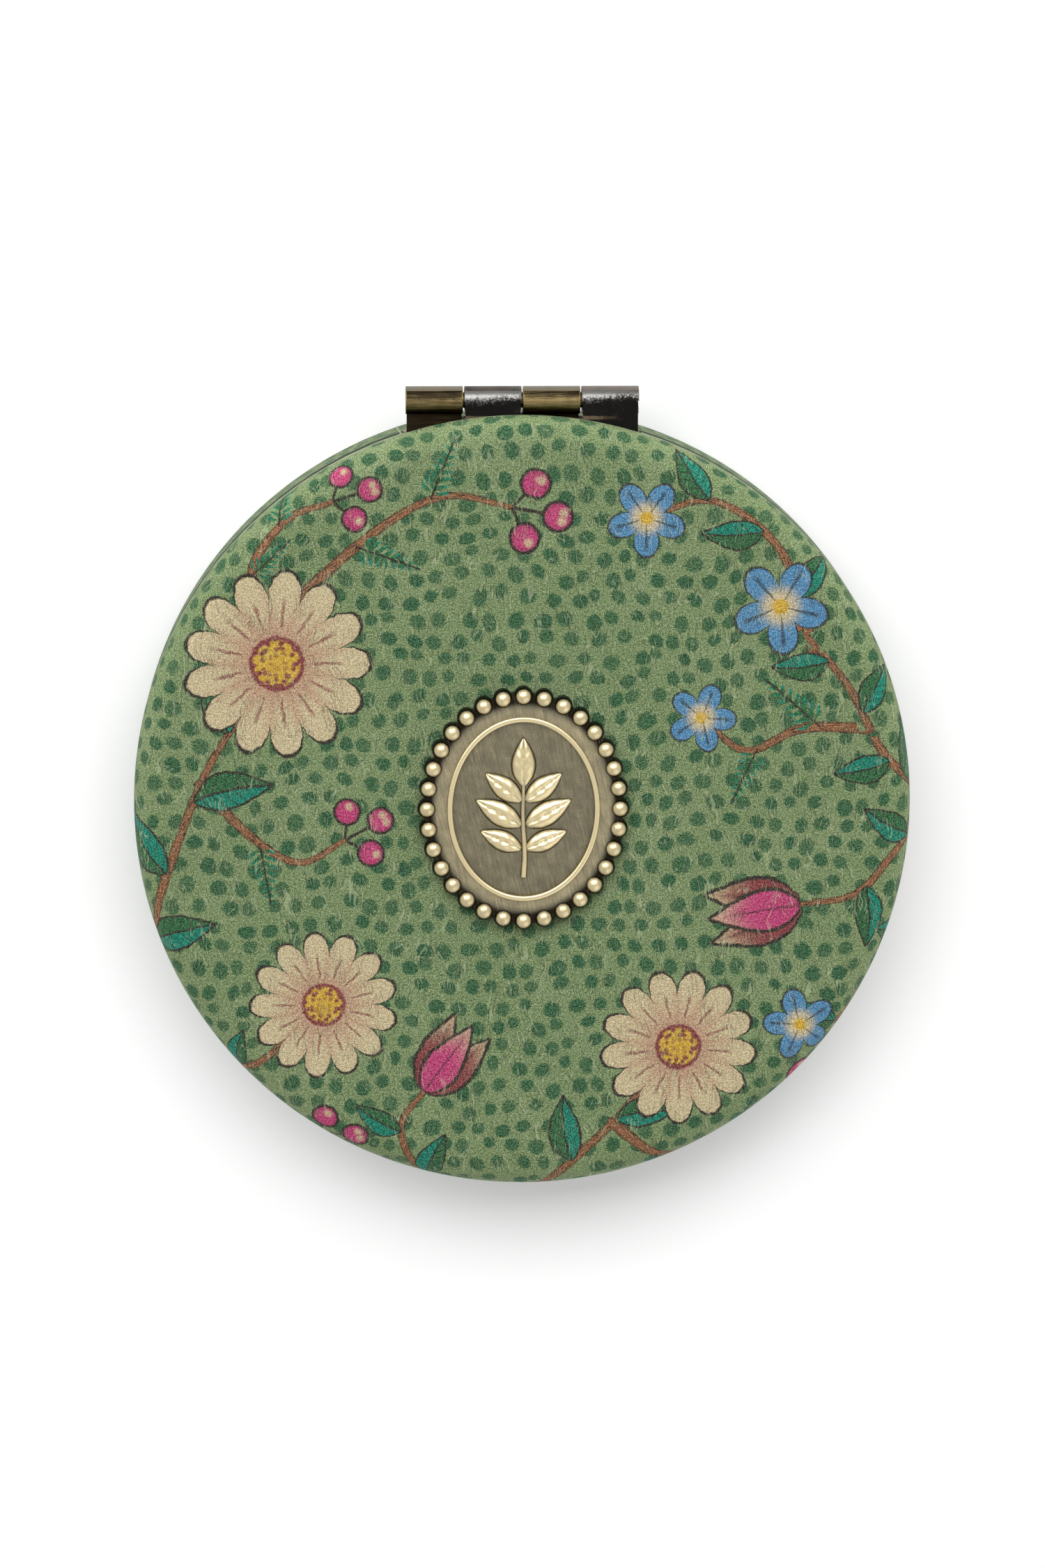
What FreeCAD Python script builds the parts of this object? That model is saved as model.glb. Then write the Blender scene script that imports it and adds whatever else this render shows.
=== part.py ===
import FreeCAD, Part

import math
import os

from FreeCAD import Vector

# Compact mirror: a round leather-covered case of two halves on a rolled hinge, lying closed on its back.
# Millimetres. Origin at the centre of the base's bottom face, +Z up through the lid, hinge towards +Y.

# Case outline
case_diameter = 70.0
base_corner_radius = 1.8
lid_corner_radius = 3.0
seam_edge_radius = 0.4
seam_gap = 0.2

# Leather skin and sponge padding
leather_thickness = 0.7
leather_turn_in = 2.8
padding_thickness = 0.4
glue_gap = 0.05

# Moulded shells
floor_web = 0.35
base_cavity_depth = 3.7
cavity_ledge = 3.0
hub_radius = 5.0
hub_wall = 1.2
rib_count = 8
rib_thickness = 1.0
land_wall = 0.6
edge_clearance = 0.1

# Mirrors and the tape that holds them
lid_mirror_thickness = 1.2
base_mirror_thickness = 2.0
magnifier_radius = 700.0
mirror_bevel = 0.3
mirror_clearance = 0.15
tape_thickness = 0.15
tape_margin = 2.0

# Bezel rings round the mirrors
bezel_width = 4.5
bezel_lip = 0.9
bezel_wall = 0.5
bezel_grip = 0.25
bezel_recess = 0.05
bezel_edge_radius = 0.2

# Hinge
hinge_width = 21.0
knuckle_count = 4
knuckle_gap = 0.12
knuckle_edge_radius = 0.08
hinge_sheet = 0.5
pin_diameter = 1.4
pin_clearance = 0.05
pin_inset = 0.15
pin_end_bevel = 0.2
axis_beyond_case = 1.2
notch_clearance = 0.2
curl_sweep_degrees = 295.0
leaf_cover_gap = 0.1
leaf_clearance = 0.15
leaf_corner_radius = 1.0
leaf_side_inset = 0.1
leaf_relief = 1.6
rivet_spacing = 13.0
rivet_edge_distance = 1.8
rivet_head_diameter = 2.2
rivet_head_height = 0.4
rivet_shank_diameter = 1.2
rivet_length = 1.3
rivet_clearance = 0.03

# Magnet in the base and steel keeper in the lid
magnet_thickness = 1.5
keeper_thickness = 1.0
magnet_wall = 0.3
magnet_clearance = 0.05

# Medallion on the lid
medallion_width = 19.0
medallion_height = 22.0
medallion_thickness = 1.3
pearl_count = 32
pearl_diameter = 1.7
pearl_shoulder = 0.95
plate_lap = 0.25
border_width = 2.65
ring_band = 0.5
ring_rise = 0.35
ring_edge_radius = 0.15
field_depth = 0.35
post_diameter = 1.6
post_spacing = 12.0
post_end = 0.2
post_clearance = 0.1
washer_diameter = 4.0
washer_thickness = 0.3
washer_bore_clearance = 0.03
washer_pocket_clearance = 0.2
washer_slot_count = 6
washer_slot_width = 0.35
washer_slot_length = 0.6

# How far a cut runs past what it cuts
overrun = 1.0

# Radii that several pieces share
case_radius = case_diameter / 2
shell_radius = case_radius - leather_thickness - glue_gap
leather_edge_radius = case_radius - leather_turn_in
bezel_radius = leather_edge_radius - edge_clearance
bezel_bore_radius = bezel_radius - bezel_width
mirror_radius = bezel_bore_radius + bezel_lip
seat_radius = mirror_radius + mirror_clearance
land_width = bezel_radius - seat_radius
land_middle = seat_radius + land_width / 2
magnet_radius = land_width / 2 - magnet_wall
pin_radius = pin_diameter / 2
bore_radius = pin_radius + pin_clearance
barrel_radius = bore_radius + hinge_sheet
post_radius = post_diameter / 2
shell_floor = floor_web + washer_thickness + post_end

# Places along Y of the hinge
axis_y = case_radius + axis_beyond_case
relief_y = axis_y - barrel_radius - leaf_clearance - leaf_relief
leaf_inner_y = seat_radius + land_wall
rivet_y = leaf_inner_y + rivet_edge_distance

up = Vector(0, 0, 1)
along_x = Vector(1, 0, 0)
full_turn = 360.0


class Half:
    """Levels of one half of the case, from its outer face towards the seam."""

    def __init__(self, corner_radius, cavity_depth, mirror_thickness):
        self.padding_top = leather_thickness + padding_thickness
        self.floor_top = self.padding_top + shell_floor
        self.seat = self.floor_top + cavity_depth
        self.mirror_back = self.seat + tape_thickness
        self.mirror_face = self.mirror_back + mirror_thickness
        self.land = self.mirror_face + bezel_grip
        self.leaf_top = self.land - leaf_cover_gap
        self.leaf_low = self.leaf_top - hinge_sheet
        self.axis = self.leaf_top + bore_radius
        self.depth = self.axis - seam_gap / 2
        self.rim_seat = self.depth - leather_thickness
        # The corner's rounding can be no taller than the rim's wall.
        self.corner_radius = min(corner_radius, self.rim_seat)


base = Half(base_corner_radius, base_cavity_depth, base_mirror_thickness)
lid = Half(lid_corner_radius, 0, lid_mirror_thickness)
case_height = base.depth + seam_gap + lid.depth


# Building blocks

def section_point(radius, level):
    return Vector(radius, 0, level)


def plan_point(x, y):
    return Vector(x, y, 0)


def rounded_face(corners, point):
    """Face through corners (u, v, radius), with a tangent arc at each corner whose radius is above zero."""
    places = [point(u, v) for u, v, radius in corners]
    ends = []
    for i, (u, v, radius) in enumerate(corners):
        here = places[i]
        if radius <= 0:
            ends.append((here, here, None))
            continue
        back = (places[i - 1] - here).normalize()
        ahead = (places[(i + 1) % len(places)] - here).normalize()
        half_angle = back.getAngle(ahead) / 2
        reach = radius / math.tan(half_angle)
        middle_way = (back + ahead).normalize()
        middle = here + middle_way * (radius / math.sin(half_angle) - radius)
        ends.append((here + back * reach, here + ahead * reach, middle))
    edges = []
    for i, (start, end, middle) in enumerate(ends):
        if middle is not None:
            edges.append(Part.Arc(start, middle, end).toShape())
        following = ends[(i + 1) % len(ends)][0]
        if end.distanceToPoint(following) > Part.Precision.confusion():
            edges.append(Part.makeLine(end, following))
    return Part.Face(Part.Wire(edges))


def turned(*corners):
    """Solid of revolution about Z of a section given as (radius, level, corner radius)."""
    return rounded_face(corners, section_point).revolve(Vector(0, 0, 0), up, full_turn)


def ring_of(shape, count):
    """Copies of a shape, evenly spaced round Z."""
    return [shape.rotated(Vector(0, 0, 0), up, full_turn * k / count) for k in range(count)]


def cylinder(radius, low, high, x=0, y=0):
    return Part.makeCylinder(radius, high - low, Vector(x, y, low), up)


def block(x_low, x_high, y_low, y_high, z_low, z_high):
    return Part.makeBox(x_high - x_low, y_high - y_low, z_high - z_low, Vector(x_low, y_low, z_low))


def oval(width, height, level):
    """Closed oval edge, whichever way is the longer."""
    centre = Vector(0, 0, level)
    ends = [Vector(width / 2, 0, level), Vector(0, height / 2, level)]
    ends.sort(key=centre.distanceToPoint, reverse=True)
    return Part.Ellipse(ends[0], ends[1], centre).toShape()


def oval_plate(width, height, low, high):
    """Upright slab with an oval outline."""
    return Part.Face(Part.Wire([oval(width, height, low)])).extrude(up * (high - low))


def fused(first, *others):
    return first.fuse(list(others)).removeSplitter()


def on_lid(shape):
    """Takes a shape from the lid's own levels, face down, to its place on the closed case."""
    return shape.mirror(Vector(0, 0, case_height / 2), up)


def save(name, shape):
    shape.exportStep(os.path.join("parts", name + ".step"))
    print(name, "solids", len(shape.Solids), "valid", shape.isValid(), "volume", round(shape.Volume, 2))


# Leather, padding and shells

def hinge_notch(half, room_below):
    """Space that the hinge leaf passes through at the rim, open to the seam."""
    reach = hinge_width / 2 + leaf_clearance
    return block(
        -reach, reach,
        leaf_inner_y - leaf_clearance, case_radius + overrun,
        half.leaf_low - room_below, half.depth + overrun,
    )


def leather_cover(half):
    """Skin over the face and rim, turned in over the rim's edge and cut away for the hinge."""
    corner = half.corner_radius
    inside = case_radius - leather_thickness
    skin = turned(
        (0, 0, 0),
        (case_radius, 0, corner),
        (case_radius, half.depth, seam_edge_radius),
        (leather_edge_radius, half.depth, 0),
        (leather_edge_radius, half.rim_seat, 0),
        (inside, half.rim_seat, 0),
        (inside, leather_thickness, corner - leather_thickness),
        (0, leather_thickness, 0),
    )
    return skin.cut(hinge_notch(half, notch_clearance))


def core_blank(half):
    """What fills the leather from its inside up to the land, with the mirror's seat left open."""
    corner = half.corner_radius - leather_thickness - glue_gap
    return turned(
        (0, leather_thickness, 0),
        (shell_radius, leather_thickness, corner),
        (shell_radius, half.rim_seat, 0),
        (bezel_radius, half.rim_seat, 0),
        (bezel_radius, half.land, 0),
        (seat_radius, half.land, 0),
        (seat_radius, half.seat, 0),
        (0, half.seat, 0),
    )


def padding_disc(half):
    slab = cylinder(case_radius, 0, half.padding_top)
    return core_blank(half).common(slab)


def rivets(half, clearance):
    """Rivets of one leaf, or with a clearance the holes they sit in."""
    shank = rivet_shank_diameter / 2 + clearance
    head = rivet_head_diameter / 2 + clearance
    foot = half.leaf_low - rivet_length - clearance
    rivet = turned(
        (0, foot, 0),
        (shank, foot, 0),
        (shank, half.leaf_top - rivet_head_height, 0),
        (head, half.leaf_top, 0),
        (0, half.leaf_top, 0),
    )
    places = [Vector(side * rivet_spacing / 2, rivet_y, 0) for side in (-1, 1)]
    return Part.Compound([rivet.translated(place) for place in places])


def closure_disc(half, thickness, clearance):
    """Magnet or keeper under the bezel, opposite the hinge, or with a clearance its pocket."""
    low = half.land - thickness - clearance
    return cylinder(magnet_radius + clearance, low, half.land, 0, -land_middle)


def shell_blank(half, closure_thickness):
    """Shell that every cut common to both halves has been made in."""
    slab = cylinder(case_radius, 0, half.padding_top)
    body = core_blank(half).cut(slab)
    cuts = [hinge_notch(half, 0), rivets(half, rivet_clearance)]
    cuts.append(closure_disc(half, closure_thickness, magnet_clearance))
    return body.cut(cuts)


def base_shell():
    """Tray with a hollow under the mirror, stiffened by a hub and radial ribs."""
    ledge_radius = seat_radius - cavity_ledge
    hollow = cylinder(ledge_radius, base.floor_top, base.seat)
    hub = cylinder(hub_radius, base.floor_top, base.seat)
    well = cylinder(hub_radius - hub_wall, base.floor_top, base.seat)
    rib = block(
        hub_radius - hub_wall / 2, ledge_radius + cavity_ledge / 2,
        -rib_thickness / 2, rib_thickness / 2,
        base.floor_top, base.seat,
    )
    ribs = ring_of(rib, rib_count)
    hollow = hollow.cut([hub] + ribs).fuse(well.cut(ribs))
    return shell_blank(base, magnet_thickness).cut(hollow)


def post_places():
    return [Vector(0, side * post_spacing / 2, 0) for side in (-1, 1)]


def post_holes(low, high):
    hole = cylinder(post_radius + post_clearance, low, high)
    return Part.Compound([hole.translated(place) for place in post_places()])


def lid_shell():
    """Tray with holes for the medallion's posts and pockets for their washers."""
    pocket_radius = washer_diameter / 2 + washer_pocket_clearance
    pocket = cylinder(pocket_radius, lid.padding_top + floor_web, lid.floor_top)
    pockets = Part.Compound([pocket.translated(place) for place in post_places()])
    return shell_blank(lid, keeper_thickness).cut([post_holes(0, lid.floor_top), pockets])


# Mirrors and bezels

def plane_mirror(half):
    return turned(
        (0, half.mirror_back, 0),
        (mirror_radius, half.mirror_back, 0),
        (mirror_radius, half.mirror_face - mirror_bevel, 0),
        (mirror_radius - mirror_bevel, half.mirror_face, 0),
        (0, half.mirror_face, 0),
    )


def magnifying_mirror(half):
    """Mirror glass with a hollow-ground face."""
    rim = mirror_radius - mirror_bevel
    centre_level = half.mirror_face + math.sqrt(magnifier_radius ** 2 - rim ** 2)
    ball = Part.makeSphere(magnifier_radius, Vector(0, 0, centre_level))
    return plane_mirror(half).cut(ball)


def mirror_tape(half):
    return cylinder(mirror_radius - tape_margin, half.seat, half.mirror_back)


def bezel(half):
    """Pressed ring that holds the mirror's edge and hides the turned-in leather, leaf and magnet."""
    face = half.depth - bezel_recess
    return turned(
        (bezel_bore_radius, half.mirror_face, 0),
        (bezel_bore_radius + bezel_wall, half.mirror_face, 0),
        (bezel_bore_radius + bezel_wall, half.land, 0),
        (bezel_radius, half.land, 0),
        (bezel_radius, face, bezel_edge_radius),
        (bezel_bore_radius, face, bezel_edge_radius),
    )


# Hinge

def knuckle_span(number):
    """Ends along X of one knuckle, counted from the left."""
    pitch = hinge_width / knuckle_count
    start = -hinge_width / 2 + number * pitch
    return start + knuckle_gap / 2, start + pitch - knuckle_gap / 2


def curl(half, x_low, x_high):
    """Rolled eye of one knuckle, from under the pin round to its free edge, with its end rims rounded."""
    def rim_point(radius, degrees):
        angle = math.radians(degrees)
        return Vector(x_low, axis_y + radius * math.cos(angle), half.axis + radius * math.sin(angle))

    start = -90.0
    end = start + curl_sweep_degrees
    middle = (start + end) / 2
    outer = Part.Arc(*[rim_point(barrel_radius, a) for a in (start, middle, end)])
    inner = Part.Arc(*[rim_point(bore_radius, a) for a in (end, middle, start)])
    free_edge = Part.makeLine(rim_point(barrel_radius, end), rim_point(bore_radius, end))
    root = Part.makeLine(rim_point(bore_radius, start), rim_point(barrel_radius, start))
    face = Part.Face(Part.Wire([outer.toShape(), free_edge, inner.toShape(), root]))
    rolled = face.extrude(along_x * (x_high - x_low))
    sheet_middle = bore_radius + hinge_sheet / 2
    arcs = [edge for edge in rolled.Edges if isinstance(edge.Curve, Part.Circle)]
    end_rims = [edge for edge in arcs if edge.Curve.Radius > sheet_middle]
    return rolled.makeFillet(knuckle_edge_radius, end_rims)


def hinge_leaf(half, numbers):
    """Stamped leaf, cut back beside the numbered knuckles rolled from it and pierced for its rivets."""
    reach = hinge_width / 2 - leaf_side_inset
    outline = rounded_face(
        (
            (-reach, leaf_inner_y, leaf_corner_radius),
            (reach, leaf_inner_y, leaf_corner_radius),
            (reach, relief_y, 0),
            (-reach, relief_y, 0),
        ),
        plan_point,
    )
    plate = outline.extrude(up * hinge_sheet).translated(up * half.leaf_low)
    pieces = []
    for number in numbers:
        x_low, x_high = knuckle_span(number)
        pieces.append(curl(half, x_low, x_high))
        pieces.append(block(
            x_low + leaf_side_inset, x_high - leaf_side_inset,
            relief_y, axis_y,
            half.leaf_low, half.leaf_top,
        ))
    return fused(plate, *pieces).cut(rivets(half, rivet_clearance))


def hinge_pin():
    """Pin through all the knuckles, with bevelled ends."""
    half_length = hinge_width / 2 - pin_inset
    pin = turned(
        (0, -half_length, 0),
        (pin_radius - pin_end_bevel, -half_length, 0),
        (pin_radius, pin_end_bevel - half_length, 0),
        (pin_radius, half_length - pin_end_bevel, 0),
        (pin_radius - pin_end_bevel, half_length, 0),
        (0, half_length, 0),
    )
    lying = pin.rotated(Vector(0, 0, 0), Vector(0, 1, 0), full_turn / 4)
    return lying.translated(Vector(0, axis_y, base.axis))


# Medallion

def pearls():
    """Domed beads, evenly spaced along an oval just inside the medallion's edge."""
    radius = pearl_diameter / 2
    path = oval(medallion_width - pearl_diameter, medallion_height - pearl_diameter, 0)
    drum = cylinder(radius, 0, pearl_shoulder)
    dome = Part.makeSphere(radius, Vector(0, 0, pearl_shoulder))
    bead = drum.fuse(dome.cut(cylinder(case_radius, -case_height, pearl_shoulder)))
    places = path.discretize(pearl_count + 1)[:-1]
    return [bead.translated(place) for place in places]


def medallion():
    """Cast oval plaque with a pearled border, a raised ring, a sunk field and two posts behind."""
    plate_width = medallion_width - pearl_diameter + 2 * plate_lap
    plate_height = medallion_height - pearl_diameter + 2 * plate_lap
    ring_width = medallion_width - 2 * border_width
    ring_height = medallion_height - 2 * border_width
    field_width = ring_width - 2 * ring_band
    field_height = ring_height - 2 * ring_band
    top = medallion_thickness + ring_rise
    plate = oval_plate(plate_width, plate_height, 0, medallion_thickness)
    ring = oval_plate(ring_width, ring_height, 0, top)
    ring = ring.cut(oval_plate(field_width, field_height, 0, top))
    crest = [edge for edge in ring.Edges if edge.BoundBox.ZMin > medallion_thickness]
    ring = ring.makeFillet(ring_edge_radius, crest)
    field = oval_plate(field_width, field_height, medallion_thickness - field_depth, top)
    post = cylinder(post_radius, post_end / 2 - lid.floor_top, 0)
    posts = [post.translated(place) for place in post_places()]
    body = fused(plate, *pearls()).cut(field)
    body = fused(body, ring, *posts)
    return body.translated(up * case_height)


def washers():
    """Push-on washers that grip the posts, with slots that free their inner teeth."""
    low = lid.padding_top + floor_web
    bore = post_radius + washer_bore_clearance
    ring = cylinder(washer_diameter / 2, low, low + washer_thickness).cut(
        cylinder(bore, low, low + washer_thickness))
    slot = block(
        0, bore + washer_slot_length,
        -washer_slot_width / 2, washer_slot_width / 2,
        low, low + washer_thickness,
    )
    washer = ring.cut(ring_of(slot, washer_slot_count))
    return Part.Compound([washer.translated(place) for place in post_places()])


def main():
    os.makedirs("parts", exist_ok=True)
    base_knuckles = range(0, knuckle_count, 2)
    lid_knuckles = range(1, knuckle_count, 2)

    save("base_cover", leather_cover(base))
    save("base_padding", padding_disc(base))
    save("base_shell", base_shell())
    save("base_mirror", magnifying_mirror(base))
    save("base_mirror_tape", mirror_tape(base))
    save("base_bezel", bezel(base))
    save("base_magnet", closure_disc(base, magnet_thickness, 0))
    save("hinge_leaf_base", hinge_leaf(base, base_knuckles))
    save("hinge_rivets_base", rivets(base, 0))
    save("hinge_pin", hinge_pin())

    save("lid_cover", on_lid(leather_cover(lid).cut(post_holes(0, lid.floor_top))))
    save("lid_padding", on_lid(padding_disc(lid).cut(post_holes(0, lid.floor_top))))
    save("lid_shell", on_lid(lid_shell()))
    save("lid_mirror", on_lid(plane_mirror(lid)))
    save("lid_mirror_tape", on_lid(mirror_tape(lid)))
    save("lid_bezel", on_lid(bezel(lid)))
    save("lid_keeper", on_lid(closure_disc(lid, keeper_thickness, 0)))
    save("hinge_leaf_lid", on_lid(hinge_leaf(lid, lid_knuckles)))
    save("hinge_rivets_lid", on_lid(rivets(lid, 0)))
    save("medallion", medallion())
    save("medallion_washers", on_lid(washers()))


main()
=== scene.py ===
import math
import random

import bmesh
import bpy
import numpy as np
from bpy.props import FloatProperty, FloatVectorProperty, PointerProperty
from mathutils import Matrix, Vector, noise


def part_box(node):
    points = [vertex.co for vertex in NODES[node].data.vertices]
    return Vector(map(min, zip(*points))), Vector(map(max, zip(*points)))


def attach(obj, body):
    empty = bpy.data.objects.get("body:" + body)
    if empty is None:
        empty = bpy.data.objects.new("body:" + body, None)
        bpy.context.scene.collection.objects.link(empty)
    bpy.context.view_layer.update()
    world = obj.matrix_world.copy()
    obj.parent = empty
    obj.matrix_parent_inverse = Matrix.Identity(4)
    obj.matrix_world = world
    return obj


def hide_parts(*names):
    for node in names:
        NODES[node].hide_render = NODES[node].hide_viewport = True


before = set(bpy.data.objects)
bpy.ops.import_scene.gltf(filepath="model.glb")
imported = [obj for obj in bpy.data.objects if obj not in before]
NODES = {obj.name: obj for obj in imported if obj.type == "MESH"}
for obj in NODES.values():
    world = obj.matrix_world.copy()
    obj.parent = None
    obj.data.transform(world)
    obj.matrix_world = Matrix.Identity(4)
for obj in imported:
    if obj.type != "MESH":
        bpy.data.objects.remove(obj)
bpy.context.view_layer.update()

bl_info = {
    "name": "Compact Mirror",
    "version": (1, 0, 0),
    "blender": (4, 5, 0),
    "location": "View3D > Sidebar > Compact",
    "description": "Dresses the packed compact in printed leatherette, antique brass and mirror glass",
    "category": "Add Mesh",
}

MM = 0.001
TINY = 1e-7

# Places read from the packed part
CASE_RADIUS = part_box("lid_cover")[1].x
LID_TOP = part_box("lid_cover")[1].z
LID_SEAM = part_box("lid_cover")[0].z
BASE_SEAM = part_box("base_cover")[1].z
BASE_LEAF_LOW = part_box("hinge_leaf_base")[0].z
LID_LEAF_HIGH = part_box("hinge_leaf_lid")[1].z
BARREL_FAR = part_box("hinge_leaf_base")[1].y / MM

# Sizes of the part that its finishes follow, in millimetres
KNUCKLE_PITCH = 5.25
MEDALLION_HALF_WIDTH, MEDALLION_HALF_HEIGHT = 9.5, 11.0
FIELD_DEPTH = 0.85
MIRROR_RADIUS = 28.5


def colour_property(name, description, default):
    return FloatVectorProperty(
        name=name, description=description, default=default, subtype="COLOR", size=3, min=0, max=1,
    )


def length_property(name, description, millimetres):
    return FloatProperty(
        name=name, description=description, default=millimetres * MM, min=0, unit="LENGTH", precision=5,
    )


def angle_property(name, description, degrees):
    return FloatProperty(name=name, description=description, default=math.radians(degrees), unit="ROTATION")


def strength_property(name, description, default, unit="NONE"):
    return FloatProperty(name=name, description=description, default=default, min=0, unit=unit)


class LeatherSettings(bpy.types.PropertyGroup):
    """Sizes of the leatherette skin, and its ground colours"""

    thickness: length_property("Thickness", "Thickness of the leatherette", 0.7)
    turn_in: length_property("Turn-in", "How far the leatherette turns in over the rim", 2.8)
    lid_corner: length_property("Lid corner", "Radius between the lid's face and rim", 3.0)
    base_corner: length_property("Base corner", "Radius between the base's back and rim", 1.8)
    seam_edge: length_property("Seam edge", "Radius at the seam between lid and base", 0.4)
    notch_half: length_property("Notch half width", "Half the width of the hinge's notch", 10.65)
    notch_room: length_property("Notch room", "Room left under or over a hinge leaf", 0.2)
    press: length_property("Press", "How deep the medallion presses into the padded face", 0.06)
    ripple: length_property("Ripple", "Height of the face's soft unevenness", 0.03)
    ground: colour_property("Ground", "Sage ground of the print", (0.167, 0.232, 0.104))
    # Fleck also colours the painted highlight and wear along the lid's edge
    fleck: colour_property("Fleck", "Worn edges and light creases", (0.5, 0.55, 0.34))
    # Shade also colours the painted shade in the seam's groove
    shade: colour_property("Shade", "Groove of the seam and dark creases", (0.015, 0.025, 0.012))
    dot: colour_property("Dots", "Dots of the ground pattern", (0.033, 0.098, 0.042))
    backing: colour_property("Backing", "Cloth behind the leatherette", (0.62, 0.58, 0.47))
    dot_across: length_property("Dot spacing across", "Usual distance between dots of a row", 2.15)
    dot_rows: length_property("Dot row spacing", "Usual distance between rows of dots", 1.85)
    dot_radius: length_property("Dot radius", "Usual radius of the dots", 0.66)
    speckle: strength_property("Speckle", "Contrast of the fine speckle", 0.34)
    lap: length_property("Lap", "Width of the lapped end of the leatherette on the base's rim", 0.22)
    lap_rise: length_property("Lap rise", "How far the lapped end stands out", 0.06)


class InkSettings(bpy.types.PropertyGroup):
    """Colours of the printed flowers and leaves"""

    cream: colour_property("Cream", "Petals of the daisies", (0.53, 0.44, 0.265))
    blush: colour_property("Blush", "Shading at the foot of the petals", (0.43, 0.26, 0.17))
    maroon: colour_property("Maroon", "Rings of the daisies and outer tulip petals", (0.2, 0.05, 0.05))
    ochre: colour_property("Ochre", "Hearts of the daisies", (0.55, 0.35, 0.05))
    pink: colour_property("Pink", "Berries and middle tulip petals", (0.44, 0.055, 0.155))
    blue: colour_property("Blue", "Bellflowers", (0.085, 0.225, 0.38))
    teal: colour_property("Teal", "Bright leaves", (0.012, 0.19, 0.125))
    fern: colour_property("Fern", "Ferns and dark leaves", (0.03, 0.115, 0.045))
    brown: colour_property("Brown", "Stems", (0.27, 0.125, 0.058))
    line: colour_property("Line", "Outlines", (0.03, 0.025, 0.018))


class MetalSettings(bpy.types.PropertyGroup):
    """Colours of the metal finishes"""

    medallion: colour_property("Medallion", "Rubbed brass of the medallion", (0.59, 0.496, 0.295))
    medallion_patina: colour_property("Medallion patina", "Brown patina of its plate", (0.12, 0.108, 0.074))
    hollow: colour_property("Hollow", "Black patina between the pearls", (0.012, 0.01, 0.006))
    # The base's knuckles mix these two by painted highlights, reflections and shade, with rubbed rims
    hinge: colour_property("Hinge", "Rubbed brass of the base's knuckles", (0.25, 0.19, 0.083))
    hinge_patina: colour_property("Hinge patina", "Dark brass of the base's knuckles", (0.018, 0.013, 0.007))
    # The lid's knuckles show this colour where painted highlights and reflections lie, as does the base
    # knuckles' painted highlight
    gunmetal: colour_property("Gunmetal", "Rubbed metal of the lid's knuckles", (0.175, 0.17, 0.162))
    gunmetal_patina: colour_property(
        "Gunmetal patina", "Dark metal of the lid's knuckles", (0.008, 0.0075, 0.007))
    tongue: colour_property(
        "Tongue", "Rubbed metal of the lid's knuckles where they meet the lid", (0.3, 0.22, 0.14))
    bezel: colour_property("Bezel", "Satin brass of the bezels", (0.48, 0.4, 0.24))
    steel: colour_property("Steel", "Rivets of the hinge", (0.56, 0.55, 0.53))
    relief: length_property("Relief", "Height of the sprig on the medallion", 0.55)


class StudioSettings(bpy.types.PropertyGroup):
    """Camera, lights and floor"""

    lens: FloatProperty(name="Lens", description="Focal length", default=139.2, min=1, unit="CAMERA")
    distance: length_property("Distance", "From the camera to the lid", 546)
    lean_back: angle_property("Lean back", "Camera's lean towards the hinge", 8.7)
    lean_side: angle_property("Lean side", "Camera's lean towards the left", 1.45)
    key_power: strength_property("Key light", "Power of the key light", 5.6, "POWER")
    fill_power: strength_property("Fill light", "Power of the weak light from the front", 0.75, "POWER")
    sky: strength_property("Sky", "Strength of the light all round", 0.25)
    glow: strength_property("Glow", "White that the floor adds where it is seen", 0.28)
    floor: colour_property("Floor", "Colour of the floor", (0.82, 0.82, 0.82))
    floor_size: length_property("Floor size", "Side of the floor", 4000)


def settings(name):
    return getattr(bpy.context.scene, name)


# Shader nodes

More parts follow.
